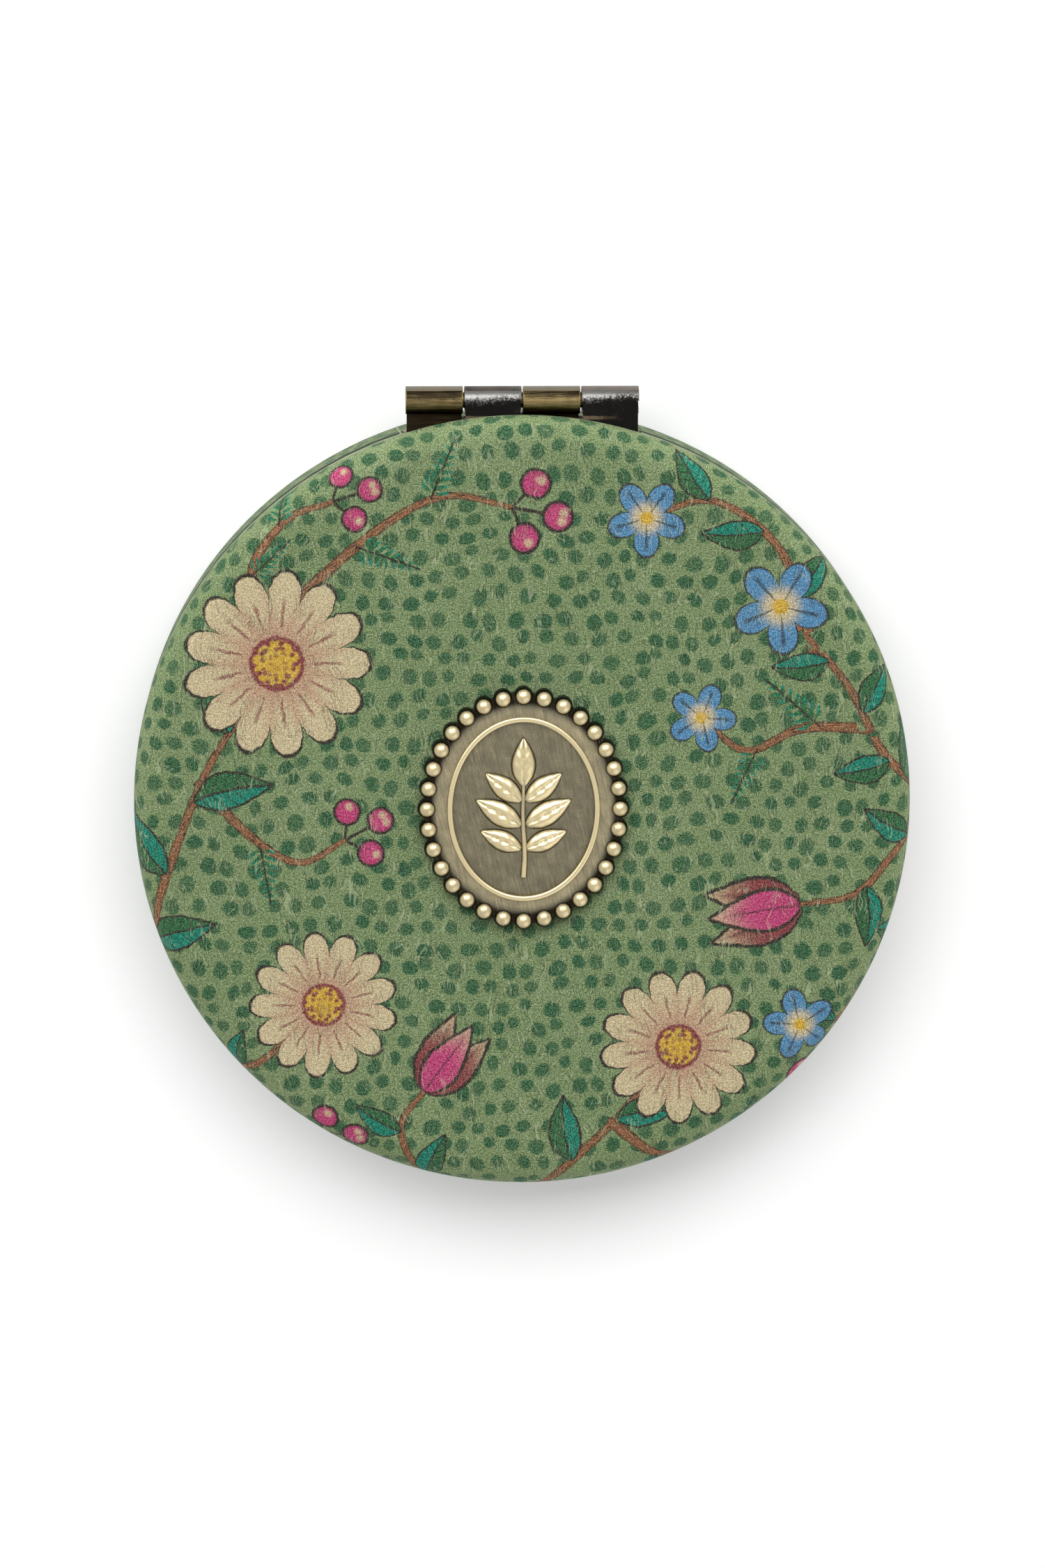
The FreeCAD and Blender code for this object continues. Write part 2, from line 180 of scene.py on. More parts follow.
class Wiring:
    """Adds shader nodes to one tree and joins them up."""

    def __init__(self, tree):
        self.tree = tree

    def add(self, kind, inputs=(), **fields):
        node = self.tree.nodes.new("ShaderNode" + kind)
        for name, value in fields.items():
            setattr(node, name, value)
        for name, value in dict(inputs).items():
            self.join(value, node.inputs[name])
        return node

    def join(self, value, socket):
        if isinstance(value, bpy.types.NodeSocket):
            self.tree.links.new(value, socket)
        else:
            socket.default_value = (*value, 1.0) if socket.type == "RGBA" else value

    def calc(self, operation, *values):
        node = self.add("Math", operation=operation)
        for value, socket in zip(values, node.inputs):
            self.join(value, socket)
        return node.outputs[0]

    def vector(self, operation, *values):
        node = self.add("VectorMath", operation=operation)
        for value, socket in zip(values, node.inputs):
            self.join(value, socket)
        return node.outputs["Value" if operation == "LENGTH" else "Vector"]

    def split(self, vector):
        return self.add("SeparateXYZ", {"Vector": vector}).outputs[:]

    def pack(self, x, y, z=0.0):
        return self.add("CombineXYZ", {"X": x, "Y": y, "Z": z}).outputs[0]

    def ramp(self, value, low, high, start=0.0, end=1.0):
        limits = {"Value": value, "From Min": low, "From Max": high, "To Min": start, "To Max": end}
        return self.add("MapRange", limits, interpolation_type="SMOOTHSTEP").outputs[0]

    def below(self, value, edge, soft):
        """1 where value is under edge, falling to 0 over the soft width."""
        return self.ramp(value, edge - soft, edge + soft, 1.0, 0.0)

    def plus(self, first, second):
        return self.calc("ADD", first, second)

    def minus(self, first, second):
        return self.calc("SUBTRACT", first, second)

    def times(self, first, *others):
        for other in others:
            first = self.calc("MULTIPLY", first, other)
        return first

    def scale(self, value, factor, offset):
        return self.calc("MULTIPLY_ADD", value, factor, offset)

    def swing(self, value, amount, offset):
        """Offset plus the amount times how far a noise lies from its middle."""
        return self.scale(self.minus(value, 0.5), amount, offset)

    def gap(self, first, second):
        return self.calc("ABSOLUTE", self.minus(first, second))

    def reach(self, x, y):
        return self.vector("LENGTH", self.pack(x, y))

    def paint(self, under, over, share, how="MIX"):
        node = self.add("Mix", data_type="RGBA", blend_type=how, clamp_factor=True)
        for value, index in ((share, 0), (under, 6), (over, 7)):
            self.join(value, node.inputs[index])
        return node.outputs[2]

    def noise(self, vector, scale, detail=2.0, roughness=0.5):
        inputs = {"Vector": vector, "Scale": scale, "Detail": detail, "Roughness": roughness}
        return self.add("TexNoise", inputs).outputs[0]

    def shake(self, vector, scale, detail, amount):
        """Offset in X and Y that wanders over the surface."""
        wander = self.add("TexNoise", {"Vector": vector, "Scale": scale, "Detail": detail}).outputs["Color"]
        wander = self.vector("SUBTRACT", wander, (0.5, 0.5, 0.5))
        return self.vector("MULTIPLY", wander, (amount, amount, 0.0))

    def attribute(self, name):
        return self.add("Attribute", attribute_name=name, attribute_type="GEOMETRY").outputs["Vector"]

    def millimetres(self):
        """Place on the piece, in millimetres."""
        place = self.add("TexCoord").outputs["Object"]
        return self.vector("MULTIPLY", place, (1 / MM,) * 3)

    def group(self, tree, **inputs):
        node = self.tree.nodes.new("ShaderNodeGroup")
        node.node_tree = tree
        for name, value in inputs.items():
            self.join(value, node.inputs[name.replace("_", " ")])
        return node.outputs


SOCKETS = {"vector": "NodeSocketVector", "colour": "NodeSocketColor", "value": "NodeSocketFloat"}
SURFACE = {"Colour": "colour", "Roughness": "value", "Height": "value"}


def shader_group(name, draw, inputs, outputs):
    """Node group made once: draw takes its wiring and input sockets, and returns the outputs in order."""
    if name in bpy.data.node_groups:
        return bpy.data.node_groups[name]
    tree = bpy.data.node_groups.new(name, "ShaderNodeTree")
    for side, sockets in (("INPUT", inputs), ("OUTPUT", outputs)):
        for label, kind in sockets.items():
            tree.interface.new_socket(label, in_out=side, socket_type=SOCKETS[kind])
    wiring = Wiring(tree)
    entry = tree.nodes.new("NodeGroupInput")
    results = draw(wiring, *[entry.outputs[label] for label in inputs])
    leave = tree.nodes.new("NodeGroupOutput")
    for label, result in zip(outputs, results):
        wiring.join(result, leave.inputs[label])
    return tree


def new_material(name, **constants):
    """Material with its shader, whose plain values are set on the shader itself."""
    material = bpy.data.materials.new(name)
    material.use_nodes = True
    tree = material.node_tree
    shader = tree.nodes["Principled BSDF"]
    for label, value in constants.items():
        shader.inputs[label.replace("_", " ")].default_value = value
    return material, Wiring(tree), shader


def bump(w, shader, height, millimetres, strength=1.0):
    node = w.add("Bump", {"Height": height, "Distance": millimetres * MM, "Strength": strength})
    w.join(node.outputs[0], shader.inputs["Normal"])


def dress_shader(w, shader, surface, depth):
    """Joins a surface group's colour, roughness and height to the shader."""
    w.join(surface["Colour"], shader.inputs["Base Color"])
    w.join(surface["Roughness"], shader.inputs["Roughness"])
    bump(w, shader, surface["Height"], depth)


# Effects that several materials share

# Grain to the millimetre, the share of its finer flecks, and where on a fold its two sides lie
PEBBLES = 4.6
FINE_FLECKS, BROAD_FLECKS = 10.0, 4.4
FINE_SHARE = 0.72
FOLDS = 9.0
PALE_SIDE, DARK_SIDE = 0.5, 0.68


def draw_grain(w, place):
    """Fine leather grain: pebbled height, flecks, and hair creases along Y with a dark and a pale side."""
    pebble = w.add("TexVoronoi", {"Vector": place, "Scale": PEBBLES, "Randomness": 1.0}, feature="SMOOTH_F1")
    fine = w.times(w.noise(place, FINE_FLECKS, 1.0, 0.6), FINE_SHARE)
    fleck = w.ramp(w.scale(w.noise(place, BROAD_FLECKS, 1.0, 0.6), 1 - FINE_SHARE, fine), 0.32, 0.68)
    x, y, z = w.split(place)
    lean = w.scale(w.noise(place, 0.45, 2.0), 1.6, x)
    along = w.pack(w.times(lean, 0.9), w.times(y, 0.12), z)
    hair = w.minus(w.noise(along, 1.0, 2.0, 0.5), 0.5)
    broken = w.ramp(w.noise(place, 0.5, 1.0), 0.4, 0.58)
    fold = w.calc("FRACT", w.scale(hair, FOLDS, 0.5))
    crease = w.times(w.below(w.gap(fold, DARK_SIDE), 0.055, 0.045), broken)
    beside = w.times(w.below(w.gap(fold, PALE_SIDE), 0.06, 0.05), broken)
    height = w.scale(pebble.outputs["Distance"], 0.9, w.times(fleck, 0.35))
    height = w.minus(height, w.times(crease, 0.9))
    return height, fleck, crease, beside


def leather_grain():
    outputs = dict.fromkeys(("Height", "Fleck", "Crease", "Beside"), "value")
    return shader_group("leather_grain", draw_grain, {"Place": "vector"}, outputs)


def draw_patina(w, place, stretch, streak, shine, patina, rubbed):
    """Antique metal: brushed streaks and blotches of patina over a rubbed colour."""
    streaks = w.vector("MULTIPLY", place, stretch)
    brush = w.noise(streaks, 1.0, 4.0, 0.6)
    blot = w.noise(place, 0.8, 2.0, 0.5)
    grit = w.noise(place, 9.0, 1.0)
    share = w.swing(brush, streak, rubbed)
    share = w.swing(blot, 0.35, share)
    share = w.ramp(w.swing(grit, 0.25, share), 0.0, 1.0)
    colour = w.paint(patina, shine, share)
    rough = w.swing(brush, 0.2, w.scale(share, -0.14, 0.44))
    return colour, rough, brush


def antique_metal():
    inputs = {"Place": "vector", "Stretch": "vector", "Streak": "value"}
    inputs |= {"Shine": "colour", "Patina": "colour", "Rubbed": "value"}
    return shader_group("antique_metal", draw_patina, inputs, SURFACE)


def draw_mottle(w, place, colour, shade, scale):
    """Fine matte surface of moulded plastic, foam or tape, slightly uneven in colour."""
    cloud = w.noise(place, 0.3, 3.0)
    grain = w.noise(place, scale, 3.0)
    share = w.ramp(w.plus(w.times(cloud, 0.5), w.times(grain, 0.5)), 0.3, 0.7)
    rough = w.scale(grain, 0.3, 0.45)
    return w.paint(shade, colour, share), rough, grain


def mottled_surface():
    inputs = {"Place": "vector", "Colour": "colour", "Shade": "colour", "Scale": "value"}
    return shader_group("mottled_surface", draw_mottle, inputs, SURFACE)


def metal_material(name, shine, patina, rubbed, stretch, depth, streak=1.1, slant=0.0):
    """Antique metal. Its colours and rubbed share are plain, or functions of the wiring and the place; on the
    hinge the rubbed share also carries painted highlights, reflections and shade.
    """

    def chosen(value):
        return value(w, place) if callable(value) else value

    material, w, shader = new_material(name, Metallic=1.0)
    place = w.millimetres()
    brushed = place
    if slant:
        x, y, z = w.split(place)
        brushed = w.pack(w.scale(y, slant, x), y, z)
    metal = w.group(
        antique_metal(), Place=brushed, Stretch=stretch, Streak=streak,
        Patina=chosen(patina), Shine=chosen(shine), Rubbed=chosen(rubbed),
    )
    dress_shader(w, shader, metal, depth)
    return material


def matte_material(name, colour, shade, scale, depth):
    material, w, shader = new_material(name)
    surface = w.group(mottled_surface(), Place=w.millimetres(), Colour=colour, Shade=shade, Scale=scale)
    dress_shader(w, shader, surface, depth)
    return material


# Printed motifs. Each takes its own coordinates, where 1 is the motif's size, and paints over
# what is under it.

DAISY, BELL, TULIP, BERRIES = range(4)
LEAF, TURNED_LEAF, FERN = range(3)


def polar(w, x, y):
    return w.reach(x, y), w.calc("ARCTAN2", y, x)


def petals(w, angle, count, low, high, sharpness):
    """Wave that peaks along each petal, and the petals' outline as a distance from the middle."""
    wave = w.calc("ABSOLUTE", w.calc("COSINE", w.times(angle, count / 2)))
    edge = w.scale(w.calc("POWER", wave, sharpness), high - low, low)
    return wave, edge


def blade(w, x, power, half):
    """Half width of a pointed leaf along its length from 0 to 1, and a share that is 1 within that length."""
    along = w.calc("MINIMUM", w.calc("MAXIMUM", x, 0.0), 1.0)
    width = w.times(w.calc("SINE", w.times(w.calc("POWER", along, power), math.pi)), half)
    return width, w.times(w.ramp(x, -0.01, 0.01), w.below(x, 1.0, 0.01))


def draw_daisy(w, local, under, cream, blush, maroon, ochre, line):
    x, y = w.split(local)[:2]
    reach, angle = polar(w, x, y)
    wave, edge = petals(w, angle, 13, 0.6, 0.98, 0.42)
    off = w.minus(reach, edge)
    petal = w.paint(blush, cream, w.ramp(reach, 0.22, 0.62))
    ridge = w.times(w.below(wave, 0.55, 0.4), w.below(reach, 0.75, 0.25))
    petal = w.paint(petal, blush, w.times(ridge, 0.55))
    rib = w.times(w.ramp(reach, 0.34, 0.4), w.below(reach, 0.66, 0.06))
    rib = w.times(w.below(w.minus(1.0, wave), 0.02, 0.015), rib)
    petal = w.paint(petal, maroon, w.times(rib, 0.7))
    colour = w.paint(under, petal, w.below(off, 0.0, 0.012))
    outline = w.below(w.calc("ABSOLUTE", off), 0.022, 0.012)
    colour = w.paint(colour, line, outline)
    seeds = w.add("TexVoronoi", {"Vector": local, "Scale": 13.0}, voronoi_dimensions="2D").outputs["Distance"]
    heart = w.paint(maroon, ochre, w.ramp(seeds, 0.2, 0.5))
    heart = w.paint(heart, ochre, w.times(w.below(reach, 0.14, 0.06), 0.6))
    colour = w.paint(colour, maroon, w.below(reach, 0.29, 0.015))
    return (w.paint(colour, heart, w.below(reach, 0.24, 0.02)),)


def draw_bell(w, local, under, blue, cream, ochre, line):
    x, y = w.split(local)[:2]
    reach, angle = polar(w, x, y)
    wave, edge = petals(w, angle, 5, 0.42, 0.98, 0.8)
    off = w.minus(reach, edge)
    petal = w.paint(cream, blue, w.ramp(reach, 0.2, 0.55))
    rib = w.times(w.below(w.minus(1.0, wave), 0.012, 0.01), w.below(reach, 0.8, 0.1))
    petal = w.paint(petal, line, w.times(rib, 0.7))
    colour = w.paint(under, petal, w.below(off, 0.0, 0.02))
    colour = w.paint(colour, line, w.times(w.below(w.calc("ABSOLUTE", off), 0.035, 0.02), 0.85))
    return (w.paint(colour, ochre, w.below(reach, 0.16, 0.03)),)


def draw_tulip(w, local, under, maroon, pink, cream, line):
    x, y = w.split(local)[:2]
    side = w.calc("ABSOLUTE", y)
    half, inside = blade(w, x, 0.68, 0.22)
    flare = w.gap(side, w.scale(x, 0.2, 0.06))
    colour = under
    for across, tint in ((flare, maroon), (side, pink)):
        off = w.minus(across, half)
        pale = w.times(w.ramp(x, 0.4, 1.0, 0.0, 0.8), w.ramp(off, -0.16, 0.0, 0.35, 1.0))
        fill = w.paint(tint, cream, pale)
        rib = w.times(w.below(across, 0.014, 0.01), w.below(x, 0.75, 0.2))
        fill = w.paint(fill, line, w.times(rib, 0.6))
        colour = w.paint(colour, fill, w.times(w.below(off, 0.0, 0.012), inside))
        colour = w.paint(colour, line, w.times(w.below(w.calc("ABSOLUTE", off), 0.02, 0.012), inside))
    return (colour,)


def draw_berries(w, local, under, pink, cream, line):
    x, y = w.split(local)[:2]
    side = w.calc("ABSOLUTE", y)
    slant = w.gap(w.times(side, 0.55), w.times(x, 0.83))
    stalk = w.times(w.below(slant, 0.03, 0.015), w.ramp(x, 0.0, 0.02), w.below(x, 0.3, 0.02))
    middle = w.times(w.below(side, 0.03, 0.015), w.ramp(x, 0.0, 0.02), w.below(x, 0.6, 0.02))
    colour = w.paint(under, line, w.calc("MAXIMUM", stalk, middle))
    for centre_x, centre_y in ((0.3, 0.45), (0.76, 0.0)):
        across = w.minus(side, centre_y)
        reach = w.reach(w.minus(x, centre_x), across)
        glint = w.reach(w.minus(x, centre_x + 0.08), w.minus(across, 0.07))
        fill = w.paint(pink, cream, w.times(w.below(glint, 0.07, 0.04), 0.8))
        fill = w.paint(fill, line, w.times(w.ramp(reach, 0.12, 0.27), 0.45))
        colour = w.paint(colour, fill, w.below(reach, 0.24, 0.02))
        colour = w.paint(colour, line, w.below(w.gap(reach, 0.24), 0.025, 0.015))
    return (colour,)


def draw_leaf(w, local, under, near, far, line):
    x, y = w.split(local)[:2]
    x = w.plus(x, w.times(w.times(y, y), 0.35))
    y = w.minus(y, w.times(w.times(x, w.minus(1.0, x)), 0.22))
    side = w.calc("ABSOLUTE", y)
    half, inside = blade(w, x, 0.8, 0.23)
    off = w.minus(side, half)
    fill = w.paint(near, far, w.ramp(y, -0.01, 0.01))
    rows = w.calc("FRACT", w.minus(w.times(x, 7.0), w.times(side, 6.0)))
    veins = w.below(w.gap(rows, 0.5), 0.09, 0.06)
    fill = w.paint(fill, line, w.times(veins, 0.55))
    fill = w.paint(fill, line, w.below(side, 0.014, 0.008))
    colour = w.paint(under, fill, w.times(w.below(off, 0.0, 0.012), inside))
    return (w.paint(colour, line, w.times(w.below(w.calc("ABSOLUTE", off), 0.016, 0.01), inside)),)


def draw_fern(w, local, under, near, far, line):
    x, y = w.split(local)[:2]
    side = w.calc("ABSOLUTE", y)
    taper = w.scale(x, -0.24, 0.28)
    share = w.calc("DIVIDE", side, taper)
    rows = w.calc("FRACT", w.minus(w.times(x, 8.0), w.times(side, 5.0)))
    middle = w.gap(rows, 0.5)
    width = w.times(w.calc("SQRT", w.calc("MAXIMUM", w.minus(1.0, share), 0.0)), 0.36)
    inside = w.times(w.ramp(x, 0.1, 0.12), w.below(x, 0.96, 0.02))
    blade = w.times(w.below(w.minus(middle, width), 0.0, 0.04), w.below(share, 1.0, 0.05), inside)
    colour = w.paint(under, w.paint(near, far, w.ramp(share, 0.2, 0.9)), blade)
    axis = w.times(w.below(side, 0.014, 0.008), w.ramp(x, -0.01, 0.01), w.below(x, 1.0, 0.01))
    return (w.paint(colour, line, axis),)


def motif_group(name, inks, draw):
    inputs = {"Local": "vector", "Under": "colour"} | {ink.capitalize(): "colour" for ink in inks}
    return shader_group(name, draw, inputs, {"Colour": "colour"})


def own_inks(*names):
    """Parts of a motif that go by the names of their inks."""
    return {name: name for name in names}


def print_over(w, under, inks):
    """Paints stems, leaves and blooms over the ground, each from the coordinates kept on the mesh."""
    tint = {name: getattr(inks, name) for name in InkSettings.__annotations__}
    place = w.attribute("print_place")
    wobble = w.shake(place, 1.6, 3.0, 0.05)

    along, across, left = w.split(w.attribute("print_stem"))
    beyond = w.calc("MAXIMUM", w.calc("MAXIMUM", w.times(along, -1.0), w.times(left, -1.0)), 0.0)
    grown = w.calc("DIVIDE", along, w.plus(along, left))
    half = w.scale(grown, STEM_END - STEM_START, STEM_START)
    fibre = w.noise(w.pack(w.times(along, 0.7), w.times(across, 5.0)), 1.6, 3.0)
    ragged = w.swing(fibre, 0.3, w.reach(across, beyond))
    bark = w.paint(tint["line"], tint["brown"], w.ramp(fibre, 0.3, 0.55))
    bark = w.paint(bark, tint["line"], w.times(w.ramp(w.calc("DIVIDE", ragged, half), 0.45, 0.9), 0.6))
    colour = w.paint(under, bark, w.below(w.minus(ragged, half), 0.0, 0.06))

    leaf = w.vector("ADD", w.attribute("print_leaf"), wobble)
    bloom = w.vector("ADD", w.attribute("print_bloom"), wobble)
    leaf_kind, bloom_kind = w.split(leaf)[2], w.split(bloom)[2]
    light_near = {"near": "teal", "far": "fern", "line": "line"}
    light_far = {"near": "fern", "far": "teal", "line": "line"}
    daisy_inks = own_inks("cream", "blush", "maroon", "ochre", "line")
    layers = [
        (leaf, leaf_kind, LEAF, "leaf", light_near, draw_leaf),
        (leaf, leaf_kind, TURNED_LEAF, "leaf", light_far, draw_leaf),
        (leaf, leaf_kind, FERN, "fern", light_far, draw_fern),
        (bloom, bloom_kind, DAISY, "daisy", daisy_inks, draw_daisy),
        (bloom, bloom_kind, BELL, "bell", own_inks("blue", "cream", "ochre", "line"), draw_bell),
        (bloom, bloom_kind, TULIP, "tulip", own_inks("maroon", "pink", "cream", "line"), draw_tulip),
        (bloom, bloom_kind, BERRIES, "berries", own_inks("pink", "cream", "line"), draw_berries),
    ]
    for local, kind, wanted, name, parts, draw in layers:
        tree = motif_group(name, list(parts), draw)
        colours = {part.capitalize(): tint[ink] for part, ink in parts.items()}
        drawn = w.group(tree, Local=local, Under=colour, **colours)["Colour"]
        colour = w.paint(colour, drawn, w.calc("COMPARE", kind, float(wanted), 0.25))
    return colour


# Dots of the ground: how far they stray, how their sizes differ, and how soft and pale they get
DOT_STRAY = 0.4
DOT_SIZES, DOT_STIPPLE, DOT_SOFT = 0.16, 0.08, 0.14
PALEST_DOT = 0.82


def scattered_dots(w, look, place, fleck):
    """Share of dot ink: round dots in wavering staggered rows, with stippled edges."""
    across, rows = look.dot_across / MM, look.dot_rows / MM
    waver, shaken = w.shake(place, 0.11, 1.0, 2.6), w.shake(place, 1.3, 1.0, 0.2)
    x, y = w.split(w.vector("ADD", place, w.vector("ADD", waver, shaken)))[:2]
    row = w.calc("DIVIDE", y, rows)
    cell = w.pack(w.scale(row, 0.5, w.calc("DIVIDE", x, across)), row)
    cells = {"Vector": cell, "Scale": 1.0, "Randomness": DOT_STRAY}
    found = w.add("TexVoronoi", cells, voronoi_dimensions="2D").outputs
    off_x, off_row = w.split(w.vector("SUBTRACT", cell, found["Position"]))[:2]
    off_x = w.times(w.scale(off_row, -0.5, off_x), across)
    reach = w.reach(off_x, w.times(off_row, rows))
    chance = w.split(found["Color"])
    reach = w.swing(fleck, DOT_STIPPLE, w.swing(chance[1], DOT_SIZES, reach))
    inked = w.ramp(chance[0], 0.0, 1.0, PALEST_DOT, 1.0)
    return w.times(w.below(reach, look.dot_radius / MM, DOT_SOFT), inked)


SPECKLE_GAMMA = 2.2
CREASE_SHARE, BESIDE_SHARE = 0.34, 0.36


def leather_material(look, inks):
    material, w, shader = new_material("printed_leatherette", Specular_IOR_Level=0.14)
    place = w.attribute("print_place")
    grain = w.group(leather_grain(), Place=place)
    fleck = grain["Fleck"]
    cloud = w.noise(place, 0.12, 3.0)
    ground = w.paint(look.ground, look.fleck, w.ramp(cloud, 0.35, 0.8, 0.0, 0.1))
    colour = w.paint(ground, look.dot, scattered_dots(w, look, place, fleck))
    colour = print_over(w, colour, inks)
    swing = w.times(w.minus(fleck, 0.5), look.speckle)
    eased = w.add("Gamma", {"Color": colour, "Gamma": 1 / SPECKLE_GAMMA}).outputs[0]
    eased = w.vector("MAXIMUM", w.vector("ADD", eased, w.pack(swing, swing, swing)), (0.0, 0.0, 0.0))
    colour = w.add("Gamma", {"Color": eased, "Gamma": SPECKLE_GAMMA}).outputs[0]
    colour = w.paint(colour, look.shade, w.times(grain["Crease"], CREASE_SHARE))
    colour = w.paint(colour, look.fleck, w.times(grain["Beside"], BESIDE_SHARE))
    wear_and_highlight, shaded, painted_light = w.split(w.attribute("leather_edge"))
    # Painted light that lifts the colour of the lid's rounding and the base's rim
    colour = w.paint(colour, EDGE_LIGHT_LIFT, painted_light, "MULTIPLY")
    patchy = w.ramp(w.noise(place, 0.45, 2.0), 0.38, 0.6, 0.25, 1.0)
    # Wear and a painted highlight along the lid's edge, patchy
    colour = w.paint(colour, look.fleck, w.times(wear_and_highlight, patchy))
    # Painted shade in the seam's groove, uneven along it
    uneven = w.scale(patchy, 0.2, 0.8)
    colour = w.paint(colour, look.shade, w.times(shaded, uneven))
    w.join(colour, shader.inputs["Base Color"])
    w.join(w.scale(grain["Height"], 0.2, 0.5), shader.inputs["Roughness"])
    bump(w, shader, grain["Height"], 0.05, 0.8)
    return material


def backing_material(look):
    """Woven cloth behind the leatherette, seen at its cut edges."""
    dark = [0.6 * channel for channel in look.backing]
    return matte_material("leatherette_backing", look.backing, dark, 14.0, 0.03)


# Layout of the print, in millimetres on the flat cut. Each spray is its path, the kind, length and
# count of its leaves, and the kind and size of its bloom.

LID_SPRAYS = [
    (((-36, -18), (-32, -6), (-28, 4), (-22, 13)), LEAF, 6.5, 4, DAISY, 8.6),
    (((-36, -18), (-31, -24), (-25, -24), (-18, -18)), TURNED_LEAF, 5.0, 2, DAISY, 6.8),
    (((-2, -41), (3, -34), (8, -29), (14, -22)), LEAF, 6.0, 3, DAISY, 7.2),
    (((40, 0), (33, 4), (29, 11), (23, 18)), LEAF, 6.0, 4, BELL, 4.4),
    (((31, 7), (25, 7), (20, 5), (16, 8)), FERN, 6.0, 2, BELL, 3.2),
    (((40, 0), (34, -4), (30, -8), (25, -9)), TURNED_LEAF, 5.0, 2, TULIP, 8.5),
    (((26, 14), (23, 23), (17, 27.5), (11, 26)), LEAF, 5.0, 3, BELL, 3.6),
    (((-20, 19), (-13, 25), (-7, 28), (-1, 27)), FERN, 6.5, 2, BERRIES, 5.5),
    (((-24, 18), (-24, 22), (-21, 26), (-17, 27.5)), FERN, 5.5, 2, BERRIES, 4.6),
    (((-29, 2), (-24, -3), (-20, -5), (-16, -3)), FERN, 5.5, 1, BERRIES, 4.8),
    (((8, -29), (14, -33), (21, -32), (26, -28)), FERN, 6.0, 2, BERRIES, 5.5),
    (((-6, -41), (-10, -33), (-11, -29), (-9, -26)), TURNED_LEAF, 5.5, 2, TULIP, 7.5),
    (((40, -8), (33, -16), (29, -20), (25, -20)), LEAF, 5.5, 3, BELL, 3.4),
    (((-31, -24), (-29, -29), (-25, -32), (-19, -31)), FERN, 5.5, 2, BERRIES, 5.0),
]
BASE_EXTRA = [
    (((-9, -12), (-6, -5), (-2, 1), (0, 6)), LEAF, 6.0, 2, DAISY, 7.0),
    (((-2, 1), (4, 0), (8, -4), (9, -9)), FERN, 5.5, 2, TULIP, 7.0),
]
STEM_START, STEM_END = 0.55, 0.26
LEAF_ANGLES = (42, 62)
LEAF_LENGTHS = (0.85, 1.15)

# Middle and half sizes of each motif in its own coordinates, and how far beyond them its paint can reach
LEAF_FORMS = dict.fromkeys((LEAF, TURNED_LEAF, FERN), (0.5, 0.55, 0.34))
BLOOM_FORMS = {
    DAISY: (0.0, 1.0, 1.0), BELL: (0.0, 1.0, 1.0), TULIP: (0.5, 0.56, 0.46), BERRIES: (0.48, 0.62, 0.75),
}
MOTIF_REACH = 1.6
FAR_AWAY = 9.0


def smooth_path(points, steps=14):
    """Points along a smooth line through the given ones."""
    points = np.array(points, float)
    ends = np.vstack([2 * points[0] - points[1], points, 2 * points[-1] - points[-2]])
    path = []
    for a, b, c, d in zip(ends, ends[1:], ends[2:], ends[3:]):
        for t in np.arange(steps) / steps:
            path.append(0.5 * (
                2 * b + (c - a) * t + (2 * a - 5 * b + 4 * c - d) * t ** 2 + (3 * b - a - 3 * c + d) * t ** 3
            ))
    return np.array(path + [points[-1]])


def lay_out(sprays, turn_degrees, flip, seed):
    """Stems as paths, and leaves and blooms as (x, y, angle, size, kind)."""
    draw = random.Random(seed)
    turn = math.radians(turn_degrees)
    spin = np.array([[math.cos(turn), -math.sin(turn)], [math.sin(turn), math.cos(turn)]])
    stems, leaves, blooms = [], [], []
    for points, leaf_kind, leaf_length, count, bloom_kind, bloom_size in sprays:
        path = smooth_path((np.array(points) * (flip, 1)) @ spin.T)
        stems.append(path)
        for i in range(count):
            index = int(len(path) * (i + 0.7) / (count + 0.9))
            ahead = path[min(index + 1, len(path) - 1)] - path[index - 1]
            side = 1 if i % 2 else -1
            angle = math.atan2(ahead[1], ahead[0]) + side * math.radians(draw.uniform(*LEAF_ANGLES))
            leaves.append((*path[index], angle, leaf_length * draw.uniform(*LEAF_LENGTHS), leaf_kind))
        ahead = path[-1] - path[-3]
        blooms.append((*path[-1], math.atan2(ahead[1], ahead[0]), bloom_size, bloom_kind))
    return stems, leaves, blooms


def local_to(motifs, points):
    """Coordinates of each point in each motif's own frame: motifs by points by 2."""
    x, y, angle, size = [np.array(values)[:, None] for values in list(zip(*motifs))[:4]]
    dx, dy = points[None, :, 0] - x, points[None, :, 1] - y
    cos, sin = np.cos(angle), np.sin(angle)
    return np.stack([(dx * cos + dy * sin) / size, (dy * cos - dx * sin) / size], -1)


def nearest_motif(motifs, points, forms):
    """Index of the motif that each point lies in or nearest to, and how far off it is."""
    local = local_to(motifs, points)
    middle, long, wide = np.array([forms[motif[4]] for motif in motifs]).T[:, :, None]
    off = np.hypot((local[..., 0] - middle) / long, local[..., 1] / wide)
    return off.argmin(0), off.min(0)


